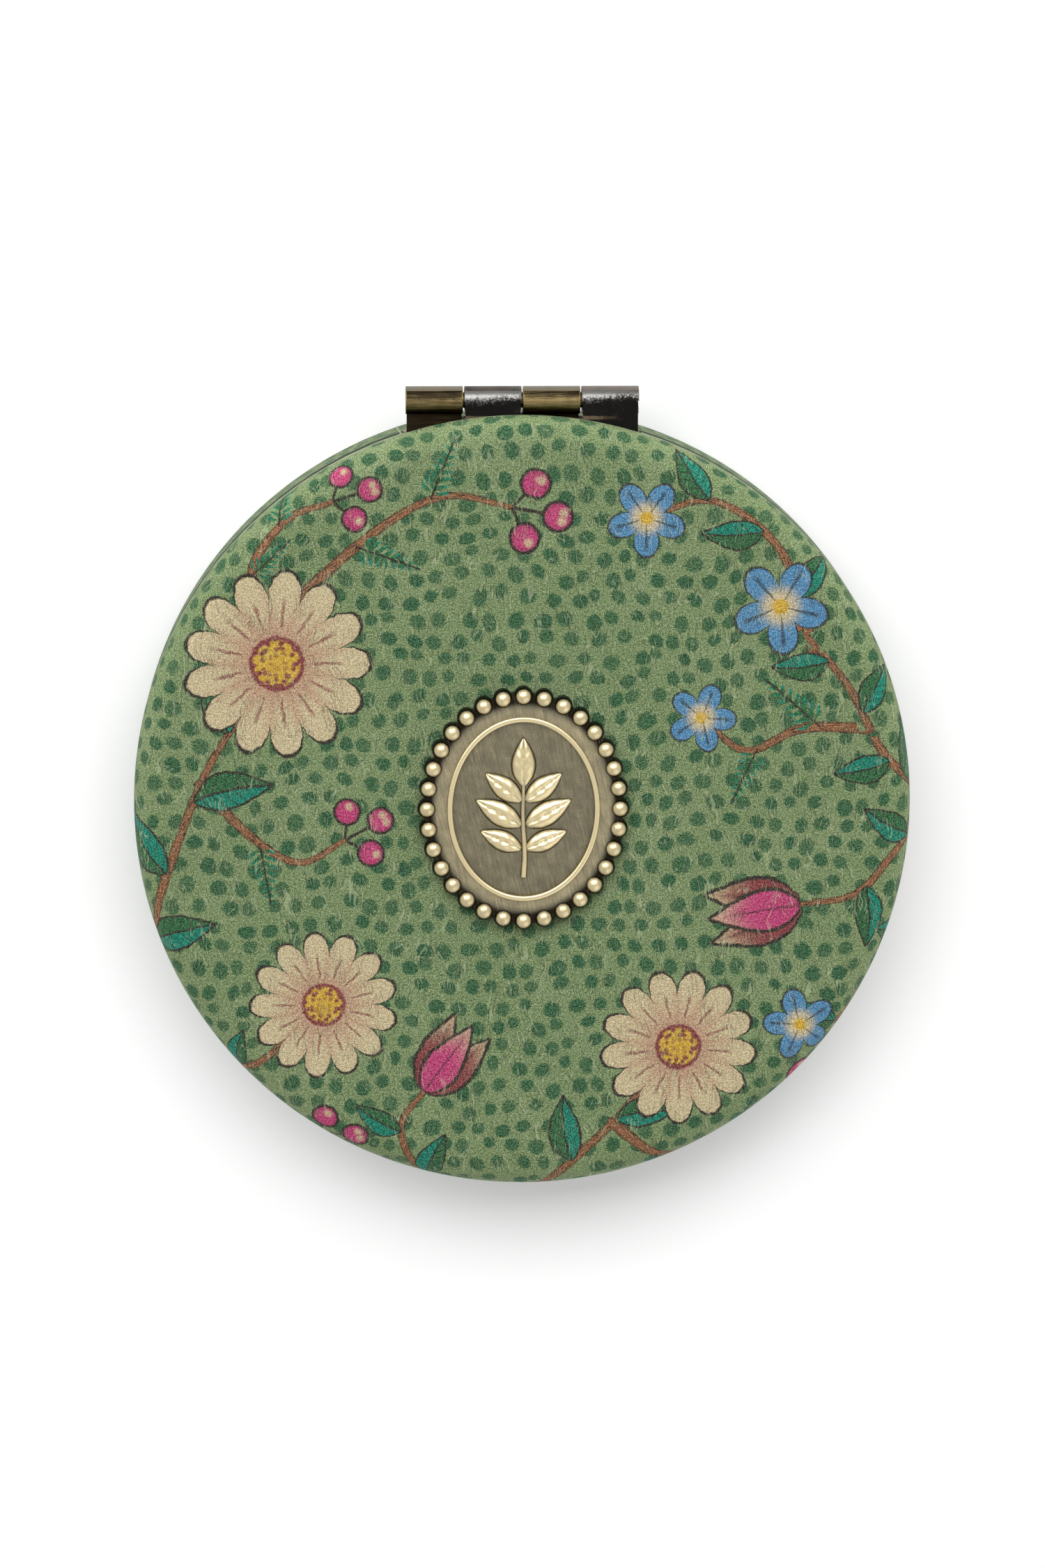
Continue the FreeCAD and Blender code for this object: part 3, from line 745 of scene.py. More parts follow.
def stem_coordinates(path, points):
    """For each point its distance along a stem, across it, and on to its end, running on past both ends."""
    start, step = path[:-1], np.diff(path, axis=0)
    long = np.linalg.norm(step, axis=1)
    offset = points[:, None] - start[None]
    free = (offset * step).sum(-1) / long ** 2
    gap = offset - np.clip(free, 0, 1)[..., None] * step
    best = np.linalg.norm(gap, axis=-1).argmin(1)
    rows = np.arange(len(points))
    offset, free, step = offset[rows, best], free[rows, best], step[best]
    share = np.clip(free, np.where(best == 0, -np.inf, 0), np.where(best == len(long) - 1, np.inf, 1))
    gap = offset - share[:, None] * step
    along = np.concatenate([[0], np.cumsum(long)])[best] + share * long[best]
    side = np.sign(step[:, 0] * gap[:, 1] - step[:, 1] * gap[:, 0])
    return np.stack([along, side * np.linalg.norm(gap, axis=1), long.sum() - along], -1)


def keep_on_mesh(mesh, name, domain, values):
    attribute = mesh.attributes.new(name, "FLOAT_VECTOR", domain)
    attribute.data.foreach_set("vector", np.ascontiguousarray(values, np.float32).ravel())


def map_print(mesh, places, layout):
    """Keeps on each face corner its coordinates in the nearest stem, leaf and bloom of the layout."""
    stems, leaves, blooms = layout
    corner_vertex = np.zeros(len(mesh.loops), np.int32)
    mesh.loops.foreach_get("vertex_index", corner_vertex)
    starts = np.zeros(len(mesh.polygons), np.int32)
    mesh.polygons.foreach_get("loop_start", starts)
    counts = np.diff(np.append(starts, len(corner_vertex)))
    corners = places[corner_vertex]
    middles = np.add.reduceat(corners, starts, axis=0) / counts[:, None]

    gaps = np.array([np.linalg.norm(middles[:, None] - path[None, ::3], axis=-1).min(1) for path in stems])
    chosen = np.repeat(gaps.argmin(0), counts)
    stem = np.zeros((len(corners), 3))
    for number, path in enumerate(stems):
        mine = chosen == number
        stem[mine] = stem_coordinates(path, corners[mine])
    keep_on_mesh(mesh, "print_stem", "CORNER", stem)

    layers = (("print_leaf", leaves, LEAF_FORMS), ("print_bloom", blooms, BLOOM_FORMS))
    for name, motifs, forms in layers:
        index, off = nearest_motif(motifs, middles, forms)
        index, off = np.repeat(index, counts), np.repeat(off, counts)
        local = local_to(motifs, corners)[index, np.arange(len(corners))]
        kind = np.array([motif[4] for motif in motifs], float)[index]
        local[off > MOTIF_REACH] = FAR_AWAY
        keep_on_mesh(mesh, name, "CORNER", np.column_stack([local, kind]))


# Meshes

def add_piece(name, made):
    """Puts a finished mesh in the scene as a piece."""
    mesh = bpy.data.meshes.new(name)
    made.to_mesh(mesh)
    made.free()
    piece = bpy.data.objects.new(name, mesh)
    bpy.context.scene.collection.objects.link(piece)
    return piece


def band_corners(row, following, column, columns):
    """Corners of one face between two rows round an axis. A row can be a single point."""
    after = (column + 1) % columns
    corners = [row[column % len(row)], row[after % len(row)]]
    corners += [following[after % len(following)], following[column % len(following)]]
    return list(dict.fromkeys(corners))


def join_rows(made, rows, columns):
    for row, following in zip(rows, rows[1:]):
        for column in range(columns):
            made.faces.new(band_corners(row, following, column, columns)).smooth = True


def close_tube(made, rings):
    """Sides and both ends of a tube through the rings."""
    join_rows(made, rings, len(rings[0]))
    made.faces.new(rings[0])
    made.faces.new(rings[-1])


# Leatherette covers

COLUMNS = 288
NOTCH_COLUMN = 15
NOTCH_BLEND = math.radians(44)
STRAIGHT_FROM, STRAIGHT_WITHIN = 0.8, 0.1
SECTION_STEP = 0.55 * MM
FACE_LEVEL = 0.01 * MM
FLAT_MARGIN = 3 * MM
RIPPLE_SPACING = 9 * MM
PRESS_WIDTH = 0.16

# Painted light, painted shade and wear of the edges, in shares, and in millimetres along the skin
RIM_LIGHT_REACH = 6.0
ROUND_LIGHT, BASE_RIM_LIGHT = 0.9, 0.3
ROUND_RISE, RIM_START, RIM_FALL = 4.2, 3.2, 0.6
LID_EDGE = 0.5
LID_GROOVE, LID_GROOVE_SHADE = 0.05, 0.47
BASE_GROOVE, HINGE_GROOVE, BASE_GROOVE_SHADE = 0.15, 0.65, 0.48
EDGE_LIGHT_LIFT = (1.6, 1.57, 1.58)


def arc(centre_radius, centre_level, radius, start, end, steps):
    angles = np.linspace(math.radians(start), math.radians(end), steps + 1)
    return [(centre_radius + radius * math.cos(a), centre_level + radius * math.sin(a)) for a in angles]


def run(start, end, spacing, include=()):
    """Points from start to end at about the spacing, with any levels that have to be met."""
    start, end = np.array(start), np.array(end)
    steps = max(1, round(float(np.linalg.norm(end - start)) / spacing))
    points = [start + (end - start) * i / steps for i in range(steps + 1)]
    for level in include:
        nearest = min(range(1, steps), key=lambda i: abs(points[i][1] - level))
        points[nearest] = np.array([points[nearest][0], level])
    return [tuple(p) for p in points]


def corner_arc(centre_radius, level, radius, notch_level, steps):
    """Quarter round from the face to the rim, with a point where the hinge's notch ends, if it ends there."""
    rise = (notch_level - level) / radius
    if rise >= 0:
        return arc(centre_radius, level, radius, -90, 0, steps)
    met = math.degrees(math.asin(rise))
    return arc(centre_radius, level, radius, -90, met, steps) + [(centre_radius + radius, level)]


def skin_section(look, corner, depth, notch_level):
    """Outer and inner side of a cover's section as (radius, level), from the face's middle and back."""
    radius, thick, edge = CASE_RADIUS, look.thickness, look.seam_edge
    inside, tip = radius - thick, radius - look.turn_in
    fine = SECTION_STEP
    on_wall = [notch_level] if notch_level > corner else []
    outer = run((0.0, 0.0), (radius - corner, 0.0), fine)
    outer += corner_arc(radius - corner, corner, corner, notch_level, 10)[1:]
    outer += run((radius, corner), (radius, depth - edge), fine / 2, on_wall)[1:]
    outer += arc(radius - edge, depth - edge, edge, 0, 90, 6)[1:]
    outer += run((radius - edge, depth), (tip, depth), fine)[1:]
    inner = run((tip, depth - thick), (inside, depth - thick), fine)
    inner += run((inside, depth - thick), (inside, corner), fine / 2, on_wall)[1:]
    inner += corner_arc(radius - corner, corner, corner - thick, notch_level, 8)[-2::-1]
    inner += run((radius - corner, thick), (0.0, thick), 4 * fine)[1:]
    return outer, inner


def column_angle(column, radius, notch_half):
    """Angle from the hinge of one column, moved so that the notch's sides are straight."""
    plain = 2 * math.pi * column / COLUMNS
    if plain > math.pi:
        plain -= 2 * math.pi
    side, plain = math.copysign(1, plain), abs(plain)
    if plain >= NOTCH_BLEND or radius < notch_half:
        return side * plain
    edge = 2 * math.pi * NOTCH_COLUMN / COLUMNS
    weight = min(1.0, max(0.0, (radius / CASE_RADIUS - STRAIGHT_FROM) / STRAIGHT_WITHIN))
    wanted = edge + (math.asin(notch_half / radius) - edge) * weight
    if plain <= edge:
        return side * plain * wanted / edge
    return side * (wanted + (plain - edge) * (NOTCH_BLEND - wanted) / (NOTCH_BLEND - edge))


def soften(look, point, level, face_sign):
    """Small unevenness of the padded face, with the medallion pressed in on the lid."""
    reach = math.hypot(point.x, point.y)
    flat = max(0.0, 1 - (reach / (CASE_RADIUS - FLAT_MARGIN)) ** 8)
    sample = Vector((point.x, point.y, face_sign)) / RIPPLE_SPACING
    dent = look.ripple * (0.5 + 0.5 * noise.noise(sample))
    if face_sign > 0:
        oval = math.hypot(point.x / MEDALLION_HALF_WIDTH, point.y / MEDALLION_HALF_HEIGHT) / MM
        dent += look.press * math.exp(-((oval - 1) / PRESS_WIDTH) ** 2 if oval > 1 else 0)
    return dent * flat if level < FACE_LEVEL else 0.0


def eased_share(share):
    share = min(1.0, max(0.0, share))
    return share * share * (3 - 2 * share)


def groove_shade(before, groove, soft, share):
    """Painted shade that fills the seam's groove and fades before it."""
    return share * (1 - math.tanh((before - groove) / soft))


def edge_look(distance, round_start, seam_start, angle, on_lid):
    """Shares of wear with a painted highlight, of painted shade in the seam's groove, and of painted light
    that lifts the colour. The base's painted shade at the seam is widest beside the hinge.
    """
    before = (seam_start - distance) / MM
    if on_lid:
        # Painted light over the lid's rounding, falling off down its rim
        turned = (distance - round_start) / MM
        fall = 1 - RIM_FALL * eased_share((turned - RIM_START) / 2)
        painted_light = ROUND_LIGHT * eased_share(turned / ROUND_RISE) * fall
        # Light band at the lid's edge: wear and a painted highlight
        wear_and_highlight = math.exp(-((before - LID_EDGE) / LID_EDGE) ** 2)
        return wear_and_highlight, groove_shade(before, LID_GROOVE, 0.1, LID_GROOVE_SHADE), painted_light
    # Painted shade in the base's groove, reaching furthest beside the hinge
    groove = BASE_GROOVE + HINGE_GROOVE * max(0.0, math.cos(angle)) ** 0.7
    shaded = groove_shade(before, groove, 0.1 + 0.2 * groove, BASE_GROOVE_SHADE)
    # Painted light on the base's rim below the groove
    return 0.0, shaded, BASE_RIM_LIGHT * (1 - shaded) * (before < RIM_LIGHT_REACH)


def leather_cover(name, node, body, corner, depth, notch_level, height_of, face_sign, layout):
    """Skin over one half of the case, with the hinge's notch cut out and its cut edges closed."""
    look = settings("compact_leather")
    outer, inner = skin_section(look, corner, depth, notch_level)
    section = outer + inner
    reach = np.concatenate([[0], np.cumsum(np.linalg.norm(np.diff(np.array(outer), axis=0), axis=1))])
    made = bmesh.new()
    rows, flat_reach = [], []
    for number, (radius, level) in enumerate(section):
        distance = reach[number] if number < len(outer) else reach[-1]
        if radius < TINY:
            point = Vector((0, 0, 0))
            level += soften(look, point, level, face_sign)
            rows.append([made.verts.new((0, 0, height_of(level)))])
            flat_reach.append((distance, [0.0]))
            continue
        row, angles = [], []
        for column in range(COLUMNS):
            angle = column_angle(column, radius, look.notch_half)
            point = Vector((radius * math.sin(angle), radius * math.cos(angle), 0))
            point.z = height_of(level + soften(look, point, level, face_sign))
            row.append(made.verts.new(point))
            angles.append(angle)
        rows.append(row)
        flat_reach.append((distance, angles))

    on_notch = [i for i, spot in enumerate(section) if abs(spot[1] - notch_level) < TINY]
    first, last = min(on_notch), max(on_notch)
    notched = set(range(COLUMNS - NOTCH_COLUMN, COLUMNS)) | set(range(NOTCH_COLUMN))
    skin_rows = len(outer) - 1
    for i in range(len(rows) - 1):
        for column in range(COLUMNS):
            if first <= i < last and column in notched:
                continue
            face = made.faces.new(band_corners(rows[i], rows[i + 1], column, COLUMNS))
            face.material_index = 0 if i < skin_rows else 1
            face.smooth = True
    for column in sorted(notched):
        made.faces.new(band_corners(rows[first], rows[last], column, COLUMNS)).material_index = 1
    for column in (COLUMNS - NOTCH_COLUMN, NOTCH_COLUMN):
        made.faces.new([rows[i][column] for i in range(first, last + 1)]).material_index = 1
    unused = [v for v in made.verts if not v.link_faces]
    bmesh.ops.delete(made, geom=unused, context="VERTS")
    bmesh.ops.recalc_face_normals(made, faces=made.faces)

    made.verts.index_update()
    places = np.zeros((len(made.verts), 3))
    edges = np.zeros((len(made.verts), 3))
    round_start = CASE_RADIUS - corner
    seam_start = reach[-1] - (look.turn_in - look.seam_edge) - look.seam_edge * math.pi / 2
    for row, (distance, angles) in zip(rows, flat_reach):
        flat = distance / MM
        for vertex, angle in zip(row, angles):
            if vertex.is_valid:
                places[vertex.index] = (flat * math.sin(angle), flat * math.cos(angle) * face_sign, 0)
                edges[vertex.index] = edge_look(distance, round_start, seam_start, angle, face_sign > 0)
    piece = add_piece(name, made)
    mesh = piece.data
    keep_on_mesh(mesh, "print_place", "POINT", places)
    keep_on_mesh(mesh, "leather_edge", "POINT", edges)
    map_print(mesh, places[:, :2], layout)
    mesh.set_sharp_from_angle(angle=math.radians(50))
    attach(piece, body)
    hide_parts(node)
    return piece, 2 * float(reach[-1])


# The lapped end: where it lies round the rim, its slant, and its section as shares of its width and rise
LAP_ANGLE = math.radians(-18.9)
LAP_SLANT = math.radians(0.09) / MM
LAP_SECTION = ((-1, -1.0), (-0.55, 0.7), (0, 1.0), (0.55, 0.7), (1, -1.0))
LAP_OVER_CORNER, LAP_FROM_SEAM = 1.2 * MM, 0.1 * MM


def leather_lap(look):
    """Lapped end of the base's leatherette: a narrow slanted ridge up the rim beside the hinge."""
    outer = skin_section(look, look.base_corner, BASE_SEAM, BASE_LEAF_LOW - look.notch_room)[0]
    section = [spot for spot in outer if spot[0] > CASE_RADIUS - LAP_OVER_CORNER]
    section = [spot for spot in section if spot[1] < BASE_SEAM - LAP_FROM_SEAM]
    half_turn = look.lap / 2 / CASE_RADIUS
    made = bmesh.new()
    rings = []
    for radius, level in section:
        middle = LAP_ANGLE + LAP_SLANT * level
        ring = []
        for across, rise in LAP_SECTION:
            angle, out = middle + across * half_turn, radius + rise * look.lap_rise
            ring.append(made.verts.new((out * math.sin(angle), out * math.cos(angle), level)))
        rings.append(ring)
    close_tube(made, rings)
    bmesh.ops.recalc_face_normals(made, faces=made.faces)
    piece = add_piece("base_leather_lap", made)
    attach(piece, "base")
    return piece


def lap_material(look):
    """Cut end of the leatherette, paler than its printed face."""
    dark = [0.5 * channel for channel in look.fleck]
    return matte_material("leatherette_cut_end", look.fleck, dark, 6.0, 0.02)


class COMPACT_OT_leather(bpy.types.Operator):
    """Wraps the lid and the base in printed leatherette"""

    bl_idname = "compact.leather"
    bl_label = "Leatherette covers"

    def execute(self, context):
        look, inks = settings("compact_leather"), settings("compact_inks")
        printed, backing = leather_material(look, inks), backing_material(look)
        lid = leather_cover(
            "lid_leather", "lid_cover", "lid", look.lid_corner, LID_TOP - LID_SEAM,
            LID_TOP - LID_LEAF_HIGH - look.notch_room, lambda level: LID_TOP - level, 1,
            lay_out(LID_SPRAYS, 0, 1, 5),
        )
        base = leather_cover(
            "base_leather", "base_cover", "base", look.base_corner, BASE_SEAM,
            BASE_LEAF_LOW - look.notch_room, lambda level: level, -1,
            lay_out(LID_SPRAYS + BASE_EXTRA, 150, -1, 8),
        )
        lap = leather_lap(look)
        lap.data.materials.append(lap_material(look))
        for (cover, cut), shell, extras in ((lid, "lid_shell", []), (base, "base_shell", [lap])):
            cover.data.materials.append(printed)
            cover.data.materials.append(backing)
        return {"FINISHED"}


# Sponge pads

PAD_MARGIN = 3 * MM
PAD_STEP = 2 * MM


def turned_piece(name, section, columns):
    """Closed piece of a section turned about Z."""
    made = bmesh.new()
    rows = []
    for radius, level in section:
        if radius < TINY:
            rows.append([made.verts.new((0, 0, level))])
            continue
        angles = [2 * math.pi * k / columns for k in range(columns)]
        rows.append([made.verts.new((radius * math.cos(a), radius * math.sin(a), level)) for a in angles])
    join_rows(made, rows, columns)
    bmesh.ops.recalc_face_normals(made, faces=made.faces)
    return add_piece(name, made)


class COMPACT_OT_sponge(bpy.types.Operator):
    """Lays a thin sponge pad under the leatherette of each face"""

    bl_idname = "compact.sponge"
    bl_label = "Sponge pads"

    def execute(self, context):
        foam = matte_material("sponge_foam", (0.82, 0.8, 0.72), (0.6, 0.57, 0.5), 5.0, 0.08)
        for node, body in (("lid_padding", "lid"), ("base_padding", "base")):
            low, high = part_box(node)
            middle, half = (low.z + high.z) / 2, (high.z - low.z) / 2
            straight = high.x - PAD_MARGIN - half
            section = run((0.0, high.z), (straight, high.z), PAD_STEP)
            section += arc(straight, middle, half, 90, -90, 8)[1:]
            section += run((straight, low.z), (0.0, low.z), PAD_STEP)[1:]
            pad = turned_piece(body + "_sponge", section, 96)
            pad.data.materials.append(foam)
            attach(pad, body)
            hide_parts(node)
        return {"FINISHED"}


# Medallion

LEAF_STEPS = (28, 12)
LEAF_EDGE, LEAF_SUNK = 0.3, 0.04 * MM
MIDRIB_DEPTH, MIDRIB_WIDTH = 0.3, 0.16
VEIN_DEPTH, VEINS = 0.06, 9
STEM_SIDES = 12


def relief_leaf(made, start, degrees, length, half_width, floor, height):
    """Domed leaf with a sunk midrib, standing on the medallion's field."""
    along_steps, across_steps = LEAF_STEPS
    angle = math.radians(degrees)
    ahead = Vector((math.cos(angle), math.sin(angle), 0))
    aside = Vector((-math.sin(angle), math.cos(angle), 0))
    top, foot = [], []
    for i in range(along_steps + 1):
        u = i / along_steps
        width = half_width * math.sin(math.pi * u ** 0.85) ** 0.85 if 0 < u < 1 else 0.0
        upper, lower = [], []
        for j in range(across_steps + 1):
            v = 2 * j / across_steps - 1
            spot = Vector((*start, 0)) + ahead * (u * length + 0.12 * width * (1 - v * v))
            spot += aside * (v * width)
            dome = (1 - abs(v) ** 2.4) * math.sin(math.pi * u) ** 0.6 if 0 < u < 1 else 0.0
            groove = MIDRIB_DEPTH * math.exp(-(v / MIDRIB_WIDTH) ** 2) * dome
            veins = VEIN_DEPTH * math.sin(VEINS * math.pi * (u - 0.22 * abs(v))) * dome
            edge = LEAF_EDGE * (dome > 0)
            rise = height * max(0.0, edge + (1 - LEAF_EDGE) * dome - groove + veins)
            upper.append(made.verts.new((spot.x, spot.y, floor + rise)))
            lower.append(made.verts.new((spot.x, spot.y, floor - LEAF_SUNK)))
        top.append(upper)
        foot.append(lower)
    for i in range(along_steps):
        for j in range(across_steps):
            made.faces.new((top[i][j], top[i + 1][j], top[i + 1][j + 1], top[i][j + 1])).smooth = True
            made.faces.new((foot[i][j], foot[i][j + 1], foot[i + 1][j + 1], foot[i + 1][j]))
        for j in (0, across_steps):
            made.faces.new((top[i][j], foot[i][j], foot[i + 1][j], top[i + 1][j]))
    for i in (0, along_steps):
        for j in range(across_steps):
            made.faces.new((top[i][j], top[i][j + 1], foot[i][j + 1], foot[i][j]))


def relief_stem(made, points, thick, thin, floor):
    """Round tapering stem, half sunk in the field."""
    path = smooth_path(points, 8) * MM
    rings = []
    for i, (x, y) in enumerate(path):
        ahead = path[min(i + 1, len(path) - 1)] - path[max(i - 1, 0)]
        across = Vector((-ahead[1], ahead[0], 0)).normalized()
        radius = thick + (thin - thick) * i / (len(path) - 1)
        centre = Vector((x, y, floor + 0.3 * radius))
        ring = []
        for k in range(STEM_SIDES):
            turn = 2 * math.pi * k / STEM_SIDES
            spot = centre + across * radius * math.cos(turn) + Vector((0, 0, radius * math.sin(turn)))
            ring.append(made.verts.new(spot))
        rings.append(ring)
    close_tube(made, rings)


# Leaves of the sprig as foot, angle, length and half width, and its stem, in millimetres and degrees
SPRIG_LEAVES = [
    (0.0, 1.9, 90, 4.6, 1.15),
    (0.1, 0.6, 38, 4.3, 1.05), (-0.1, 0.6, 142, 4.3, 1.05),
    (0.1, -1.6, 30, 4.9, 1.15), (-0.1, -1.6, 150, 4.9, 1.15),
    (0.1, -3.7, 24, 4.2, 1.0), (-0.1, -3.7, 156, 4.2, 1.0),
]
SPRIG_STEM = ((0, -6.2), (0.1, -4), (-0.05, -1), (0, 2.2))
CAST_BRASS = {"stretch": (12.0, 0.5, 2.0), "depth": 0.006, "streak": 0.6, "slant": 0.22}


def oval_reach(w, place):
    """Distance from the medallion's middle, as a share of the way to its rim."""
    x, y = w.split(place)[:2]
    return w.reach(w.calc("DIVIDE", x, MEDALLION_HALF_WIDTH), w.calc("DIVIDE", y, MEDALLION_HALF_HEIGHT))


class COMPACT_OT_medallion(bpy.types.Operator):
    """Finishes the medallion in antique brass and raises a leaf sprig in its field"""

    bl_idname = "compact.medallion"
    bl_label = "Medallion"

    def execute(self, context):
        metal = settings("compact_metal")
        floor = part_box("medallion")[1].z - FIELD_DEPTH * MM

        def high_places(w, place):
            """Dark field and hollows, half-rubbed plate, bright ring and pearl tops."""
            height = w.minus(w.split(place)[2], floor / MM)
            inner = w.ramp(oval_reach(w, place), 0.8, 0.87, 1.0, 0.0)
            plate = w.times(w.ramp(height, 0.05, 0.35, 0.16, 0.34), inner)
            return w.plus(plate, w.ramp(height, 0.4, 0.66, 0.0, 0.75))

        def hollows(w, place):
            """Brown patina on the plate, black between the pearls."""
            border = w.ramp(oval_reach(w, place), 0.83, 0.88)
            return w.paint(metal.medallion_patina, metal.hollow, border)

        def raised_places(w, place):
            """Leaves that are rubbed bright on top and dark where they meet the field."""
            height = w.minus(w.split(place)[2], floor / MM)
            return w.ramp(height, 0.08, 0.45, 0.15, 0.95)

        dress("medallion", metal_material(
            "medallion_brass", metal.medallion, hollows, high_places, **CAST_BRASS))
        made = bmesh.new()
        for x, y, degrees, length, half in SPRIG_LEAVES:
            relief_leaf(made, (x * MM, y * MM), degrees, length * MM, half * MM, floor, metal.relief)
        relief_stem(made, SPRIG_STEM, 0.3 * MM, 0.2 * MM, floor)
        bmesh.ops.remove_doubles(made, verts=made.verts, dist=TINY)
        bmesh.ops.recalc_face_normals(made, faces=made.faces)
        sprig = add_piece("medallion_sprig", made)
        sprig.data.set_sharp_from_angle(angle=math.radians(60))
        sprig.data.materials.append(metal_material(
            "sprig_brass", metal.medallion, metal.medallion_patina, raised_places, **CAST_BRASS))
        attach(sprig, "lid")
        return {"FINISHED"}


def dress(node, material):
    """Gives a packed node its material."""
    slots = NODES[node].material_slots
    if not slots:
        NODES[node].data.materials.append(material)
    for slot in slots:
        slot.material = material


# The grey band on top of the barrel, a painted highlight, fades between these distances from its far side
HIGHLIGHT_BAND = (0.28, 0.42)
ALONG_BARREL = (0.35, 7.0, 7.0)


class COMPACT_OT_hinge(bpy.types.Operator):
    """Finishes the hinge leaves, their rivets and the pin"""

    bl_idname = "compact.hinge"
    bl_label = "Hinge"

    def execute(self, context):
        metal = settings("compact_metal")
        dress("hinge_leaf_base", metal_material(
            "hinge_brass", self.crest_shine, metal.hinge_patina, self.painted_light_and_rims, ALONG_BARREL, 0.02))
        dress("hinge_leaf_lid", metal_material(
            "hinge_gunmetal", self.tongue_shine, metal.gunmetal_patina, self.painted_reflections_and_rims,
            (0.5, 0.9, 0.9), 0.004, 0.3))
        steel = metal_material("drawn_steel", metal.steel, (0.2, 0.19, 0.18), 0.75, (0.4, 6.0, 6.0), 0.006)
        for node in ("hinge_rivets_base", "hinge_rivets_lid"):
            dress(node, steel)
        dress("hinge_pin", metal_material(
            "pin_brass", metal.hinge, metal.hinge_patina, 0.35, ALONG_BARREL, 0.006))
        return {"FINISHED"}

    @staticmethod
    def barrel_place(w, place):
        """Share of the way along a knuckle, and how far its nearer end and the barrel's far side are."""
        x, y = w.split(place)[:2]
        along = w.calc("FRACT", w.scale(x, 1 / KNUCKLE_PITCH, 2.0))
        from_end = w.minus(0.5, w.gap(along, 0.5))
        return along, w.times(from_end, KNUCKLE_PITCH), w.minus(BARREL_FAR, y)

    def painted_light_and_rims(self, w, place):
        """Base knuckles: a grey band on top that is a painted highlight, an olive band towards the lid that
        is a painted reflection, darker between and on the left knuckle, painted shade under the barrel, and
        rubbed rims.
        """
        from_end, from_far = self.barrel_place(w, place)[1:]
        # A painted highlight on top, fading to a darker share, darkest on the left knuckle
        shade = w.ramp(w.split(place)[0], -4.0, -1.0, 0.04, 0.2)
        band = w.ramp(from_far, *HIGHLIGHT_BAND, 0.95, shade)
        # Painted reflection: an olive band towards the lid
        crest_reflection = w.times(w.ramp(from_far, 0.75, 1.3, 0.0, 0.42), w.ramp(from_far, 1.9, 2.4, 1.0, 0.0))
        # Painted shade where the leaf runs under the barrel
        shade_under_barrel = w.ramp(from_far, 2.1, 2.6, 1.0, 0.0)
        rubbed = w.times(w.plus(band, crest_reflection), shade_under_barrel)
        return w.calc("MAXIMUM", rubbed, w.times(w.below(from_end, 0.14, 0.05), shade_under_barrel))

    def crest_shine(self, w, place):
        """Grey in the painted highlight's band on top of the base's knuckles, olive brass below it."""
        metal = settings("compact_metal")
        from_far = self.barrel_place(w, place)[2]
        return w.paint(metal.gunmetal, metal.hinge, w.ramp(from_far, *HIGHLIGHT_BAND, 0.4, 1.0))

    def painted_reflections_and_rims(self, w, place):
        """Lid knuckles: a grey band on top that is a painted highlight, a bright smear that is a painted
        reflection and breaks up into black, a lighter foot that is a painted reflection too, and rubbed rims.
        """
        along, from_end, from_far = self.barrel_place(w, place)
        drift = w.minus(w.noise(place, 0.6, 2.0), 0.5)
        grit = w.minus(w.noise(place, 6.0, 2.0, 0.7), 0.5)
        x = w.split(place)[0]
        lower = w.scale(along, 0.45, w.ramp(x, 1.0, 5.0, 0.0, 0.2))
        lower = w.plus(w.plus(lower, from_far), w.scale(grit, 2.0, drift))
        # The smear is a painted reflection
        smear = w.times(w.ramp(lower, 0.5, 2.3, 1.05, -0.35), w.ramp(from_far, 0.3, 0.45))
        # The top band is a painted highlight
        band = w.ramp(from_far, *HIGHLIGHT_BAND, w.ramp(x, -1.0, 1.0, 0.42, 0.75), 0.0)
        # The foot is a painted reflection
        foot = w.times(w.ramp(from_far, 2.35, 2.7, 0.0, 0.75), w.ramp(from_far, 2.8, 3.2, 1.0, 0.0))
        foot = w.times(foot, w.ramp(along, 0.1, 0.9, 1.0, 0.3))
        rims = w.times(w.below(from_end, 0.13, 0.05), 0.8)
        return w.calc("MAXIMUM", w.plus(w.plus(smear, band), foot), rims)

    def tongue_shine(self, w, place):
        """Grey on the lid's knuckles, browner where they run down to the lid."""
        metal = settings("compact_metal")
        from_far = self.barrel_place(w, place)[2]
        brown = w.plus(w.ramp(from_far, *HIGHLIGHT_BAND, 0.3, 0.0), w.ramp(from_far, 2.0, 2.7))
        return w.paint(metal.gunmetal, metal.tongue, brown)


RIM_TINT = 0.6


def mirror_material():
    """Silvered glass, with faint smears that only show in its gloss."""
    material, w, shader = new_material("mirror_glass", Metallic=1.0, Specular_IOR_Level=0.6)
    place = w.millimetres()
    smear = w.noise(w.vector("MULTIPLY", place, (0.12, 0.4, 0.4)), 1.0, 4.0, 0.6)
    haze = w.ramp(smear, 0.48, 0.75)
    rim = w.ramp(w.reach(*w.split(place)[:2]), MIRROR_RADIUS - RIM_TINT, MIRROR_RADIUS)
    silver = w.paint((0.9, 0.92, 0.915), (0.86, 0.885, 0.88), haze)
    w.join(w.paint(silver, (0.5, 0.6, 0.56), rim), shader.inputs["Base Color"])
    w.join(w.scale(haze, 0.05, 0.02), shader.inputs["Roughness"])
    return material


class COMPACT_OT_mirrors(bpy.types.Operator):
    """Finishes both mirrors, the bezels round them and the tape behind them"""

    bl_idname = "compact.mirrors"
    bl_label = "Mirrors and bezels"

    def execute(self, context):
        metal = settings("compact_metal")
        glass = mirror_material()
        dark = [0.45 * channel for channel in metal.bezel]
        satin = metal_material("bezel_brass", metal.bezel, dark, 0.8, (2.2, 2.2, 2.2), 0.006)
        tape = matte_material("mirror_tape", (0.8, 0.78, 0.7), (0.66, 0.64, 0.56), 6.0, 0.02)
        for half in ("lid", "base"):
            dress(half + "_mirror", glass)
            dress(half + "_bezel", satin)
            dress(half + "_mirror_tape", tape)
        return {"FINISHED"}


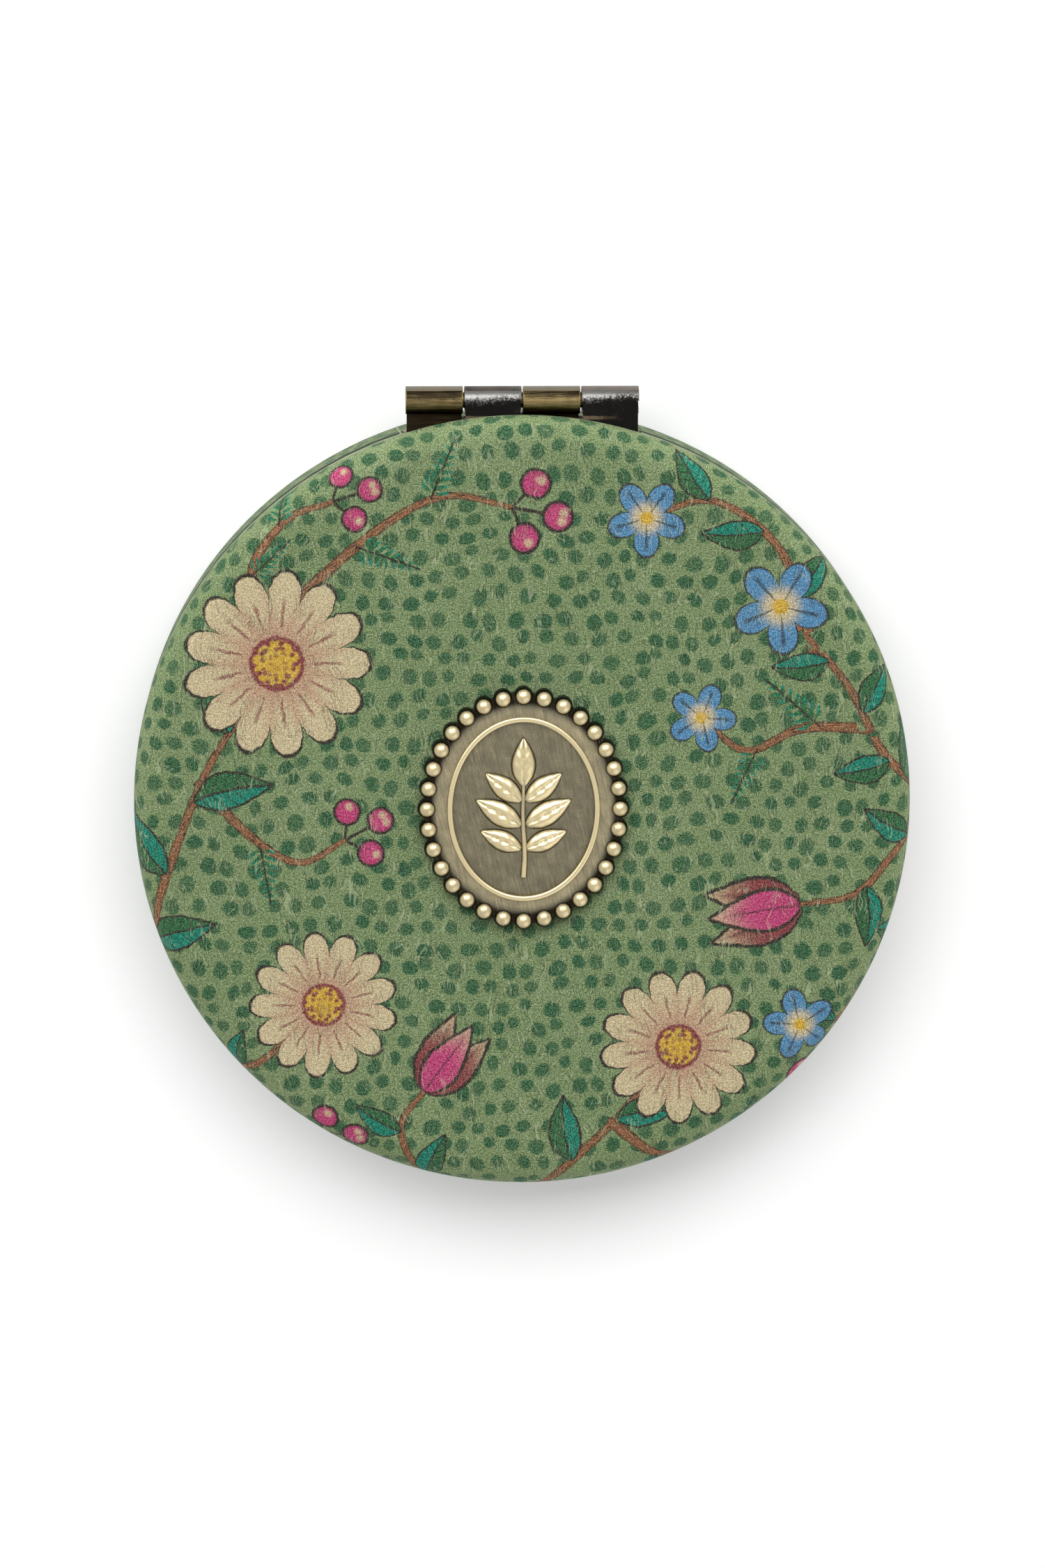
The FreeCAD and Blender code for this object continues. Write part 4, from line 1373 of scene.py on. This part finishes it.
class COMPACT_OT_core(bpy.types.Operator):
    """Finishes the moulded shells, the magnet and its keeper, and the washers"""

    bl_idname = "compact.core"
    bl_label = "Shells and closure"

    def execute(self, context):
        plastic = matte_material("shell_plastic", (0.055, 0.055, 0.055), (0.03, 0.03, 0.03), 9.0, 0.02)
        plated = metal_material(
            "plated_steel", (0.62, 0.61, 0.59), (0.3, 0.29, 0.28), 0.8, (1.5, 1.5, 1.5), 0.005)
        for node in ("lid_shell", "base_shell"):
            dress(node, plastic)
        for node in ("base_magnet", "lid_keeper", "medallion_washers"):
            dress(node, plated)
        return {"FINISHED"}


# Stage, in metres

KEY_PLACE, KEY_SIZE = (-0.06, 0.39, 0.63), (0.9, 0.45)
FILL_PLACE, FILL_SIZE = (0.35, -0.45, 0.4), (0.6, 0.6)
CAMERA_TARGET = (-0.01 * MM, 1.7 * MM, 10.5 * MM)


def softbox(name, place, size, power):
    """Rectangular lamp that faces the origin."""
    lamp = bpy.data.lights.new(name, "AREA")
    lamp.shape = "RECTANGLE"
    lamp.size, lamp.size_y = size
    lamp.energy = power
    item = bpy.data.objects.new(name, lamp)
    item.location = place
    item.rotation_mode = "QUATERNION"
    item.rotation_quaternion = (-Vector(place)).to_track_quat("-Z", "Y")
    bpy.context.scene.collection.objects.link(item)


def seen_directly(w):
    """1 for rays from the camera, mirrors and glass."""
    path = w.add("LightPath").outputs
    first = w.calc("MAXIMUM", path["Is Camera Ray"], path["Is Glossy Ray"])
    return w.calc("MAXIMUM", first, path["Is Transmission Ray"])


class COMPACT_OT_stage(bpy.types.Operator):
    """Sets up the floor, the studio light and the camera"""

    bl_idname = "compact.stage"
    bl_label = "Stage"

    def execute(self, context):
        studio, scene = settings("compact_studio"), context.scene
        self.make_floor(studio)
        self.make_light(studio, scene)
        self.make_camera(studio, scene)
        scene.view_settings.view_transform = "Standard"
        return {"FINISHED"}

    def make_floor(self, studio):
        made = bmesh.new()
        bmesh.ops.create_grid(made, x_segments=8, y_segments=8, size=studio.floor_size / 2)
        floor = add_piece("floor", made)
        material, w, shader = new_material("floor_paper", Roughness=0.9, Specular_IOR_Level=0.0)
        paper = w.noise(w.millimetres(), 0.02, 3.0)
        shade = [0.985 * channel for channel in studio.floor]
        w.join(w.paint(shade, studio.floor, paper), shader.inputs["Base Color"])
        shader.inputs["Emission Color"].default_value = (1, 1, 1, 1)
        glow = w.times(seen_directly(w), studio.glow)
        w.join(glow, shader.inputs["Emission Strength"])
        floor.data.materials.append(material)

    def make_light(self, studio, scene):
        world = bpy.data.worlds.new("studio")
        scene.world = world
        world.use_nodes = True
        w = Wiring(world.node_tree)
        back = world.node_tree.nodes["Background"]
        back.inputs["Color"].default_value = (1, 1, 1, 1)
        strength = w.scale(seen_directly(w), 1 - studio.sky, studio.sky)
        w.join(strength, back.inputs["Strength"])
        softbox("key_light", KEY_PLACE, KEY_SIZE, studio.key_power)
        softbox("fill_light", FILL_PLACE, FILL_SIZE, studio.fill_power)

    def make_camera(self, studio, scene):
        camera = bpy.data.cameras.new("camera")
        camera.lens = studio.lens
        item = bpy.data.objects.new("camera", camera)
        scene.collection.objects.link(item)
        back = Vector((-math.tan(studio.lean_side), math.tan(studio.lean_back), 1)).normalized()
        right = Vector((0, 1, 0)).cross(back).normalized()
        upward = back.cross(right)
        turn = Matrix((right, upward, back)).transposed()
        item.matrix_world = Matrix.Translation(Vector(CAMERA_TARGET) + back * studio.distance) @ turn.to_4x4()
        camera.clip_start, camera.clip_end = 0.01, 20
        scene.camera = item


class COMPACT_PT_panel(bpy.types.Panel):
    """Lists the compact's settings and operators"""

    bl_idname = "COMPACT_PT_panel"
    bl_label = "Compact mirror"
    bl_space_type = "VIEW_3D"
    bl_region_type = "UI"
    bl_category = "Compact"

    def draw(self, context):
        for operator in OPERATORS:
            self.layout.operator(operator.bl_idname)
        for name, group in SETTINGS.items():
            box = self.layout.box()
            box.label(text=group.__doc__)
            for field in group.__annotations__:
                box.prop(getattr(context.scene, name), field)


SETTINGS = {
    "compact_leather": LeatherSettings,
    "compact_inks": InkSettings,
    "compact_metal": MetalSettings,
    "compact_studio": StudioSettings,
}
OPERATORS = (
    COMPACT_OT_leather, COMPACT_OT_sponge, COMPACT_OT_medallion, COMPACT_OT_hinge,
    COMPACT_OT_mirrors, COMPACT_OT_core, COMPACT_OT_stage,
)


def register():
    for item in (*SETTINGS.values(), *OPERATORS, COMPACT_PT_panel):
        bpy.utils.register_class(item)
    for name, group in SETTINGS.items():
        setattr(bpy.types.Scene, name, PointerProperty(type=group))


def unregister():
    for name in SETTINGS:
        delattr(bpy.types.Scene, name)
    for item in reversed((*SETTINGS.values(), *OPERATORS, COMPACT_PT_panel)):
        bpy.utils.unregister_class(item)


def main():
    register()
    for operator in OPERATORS:
        family, action = operator.bl_idname.split(".")
        getattr(getattr(bpy.ops, family), action)()


if __name__ == "__main__":
    main()
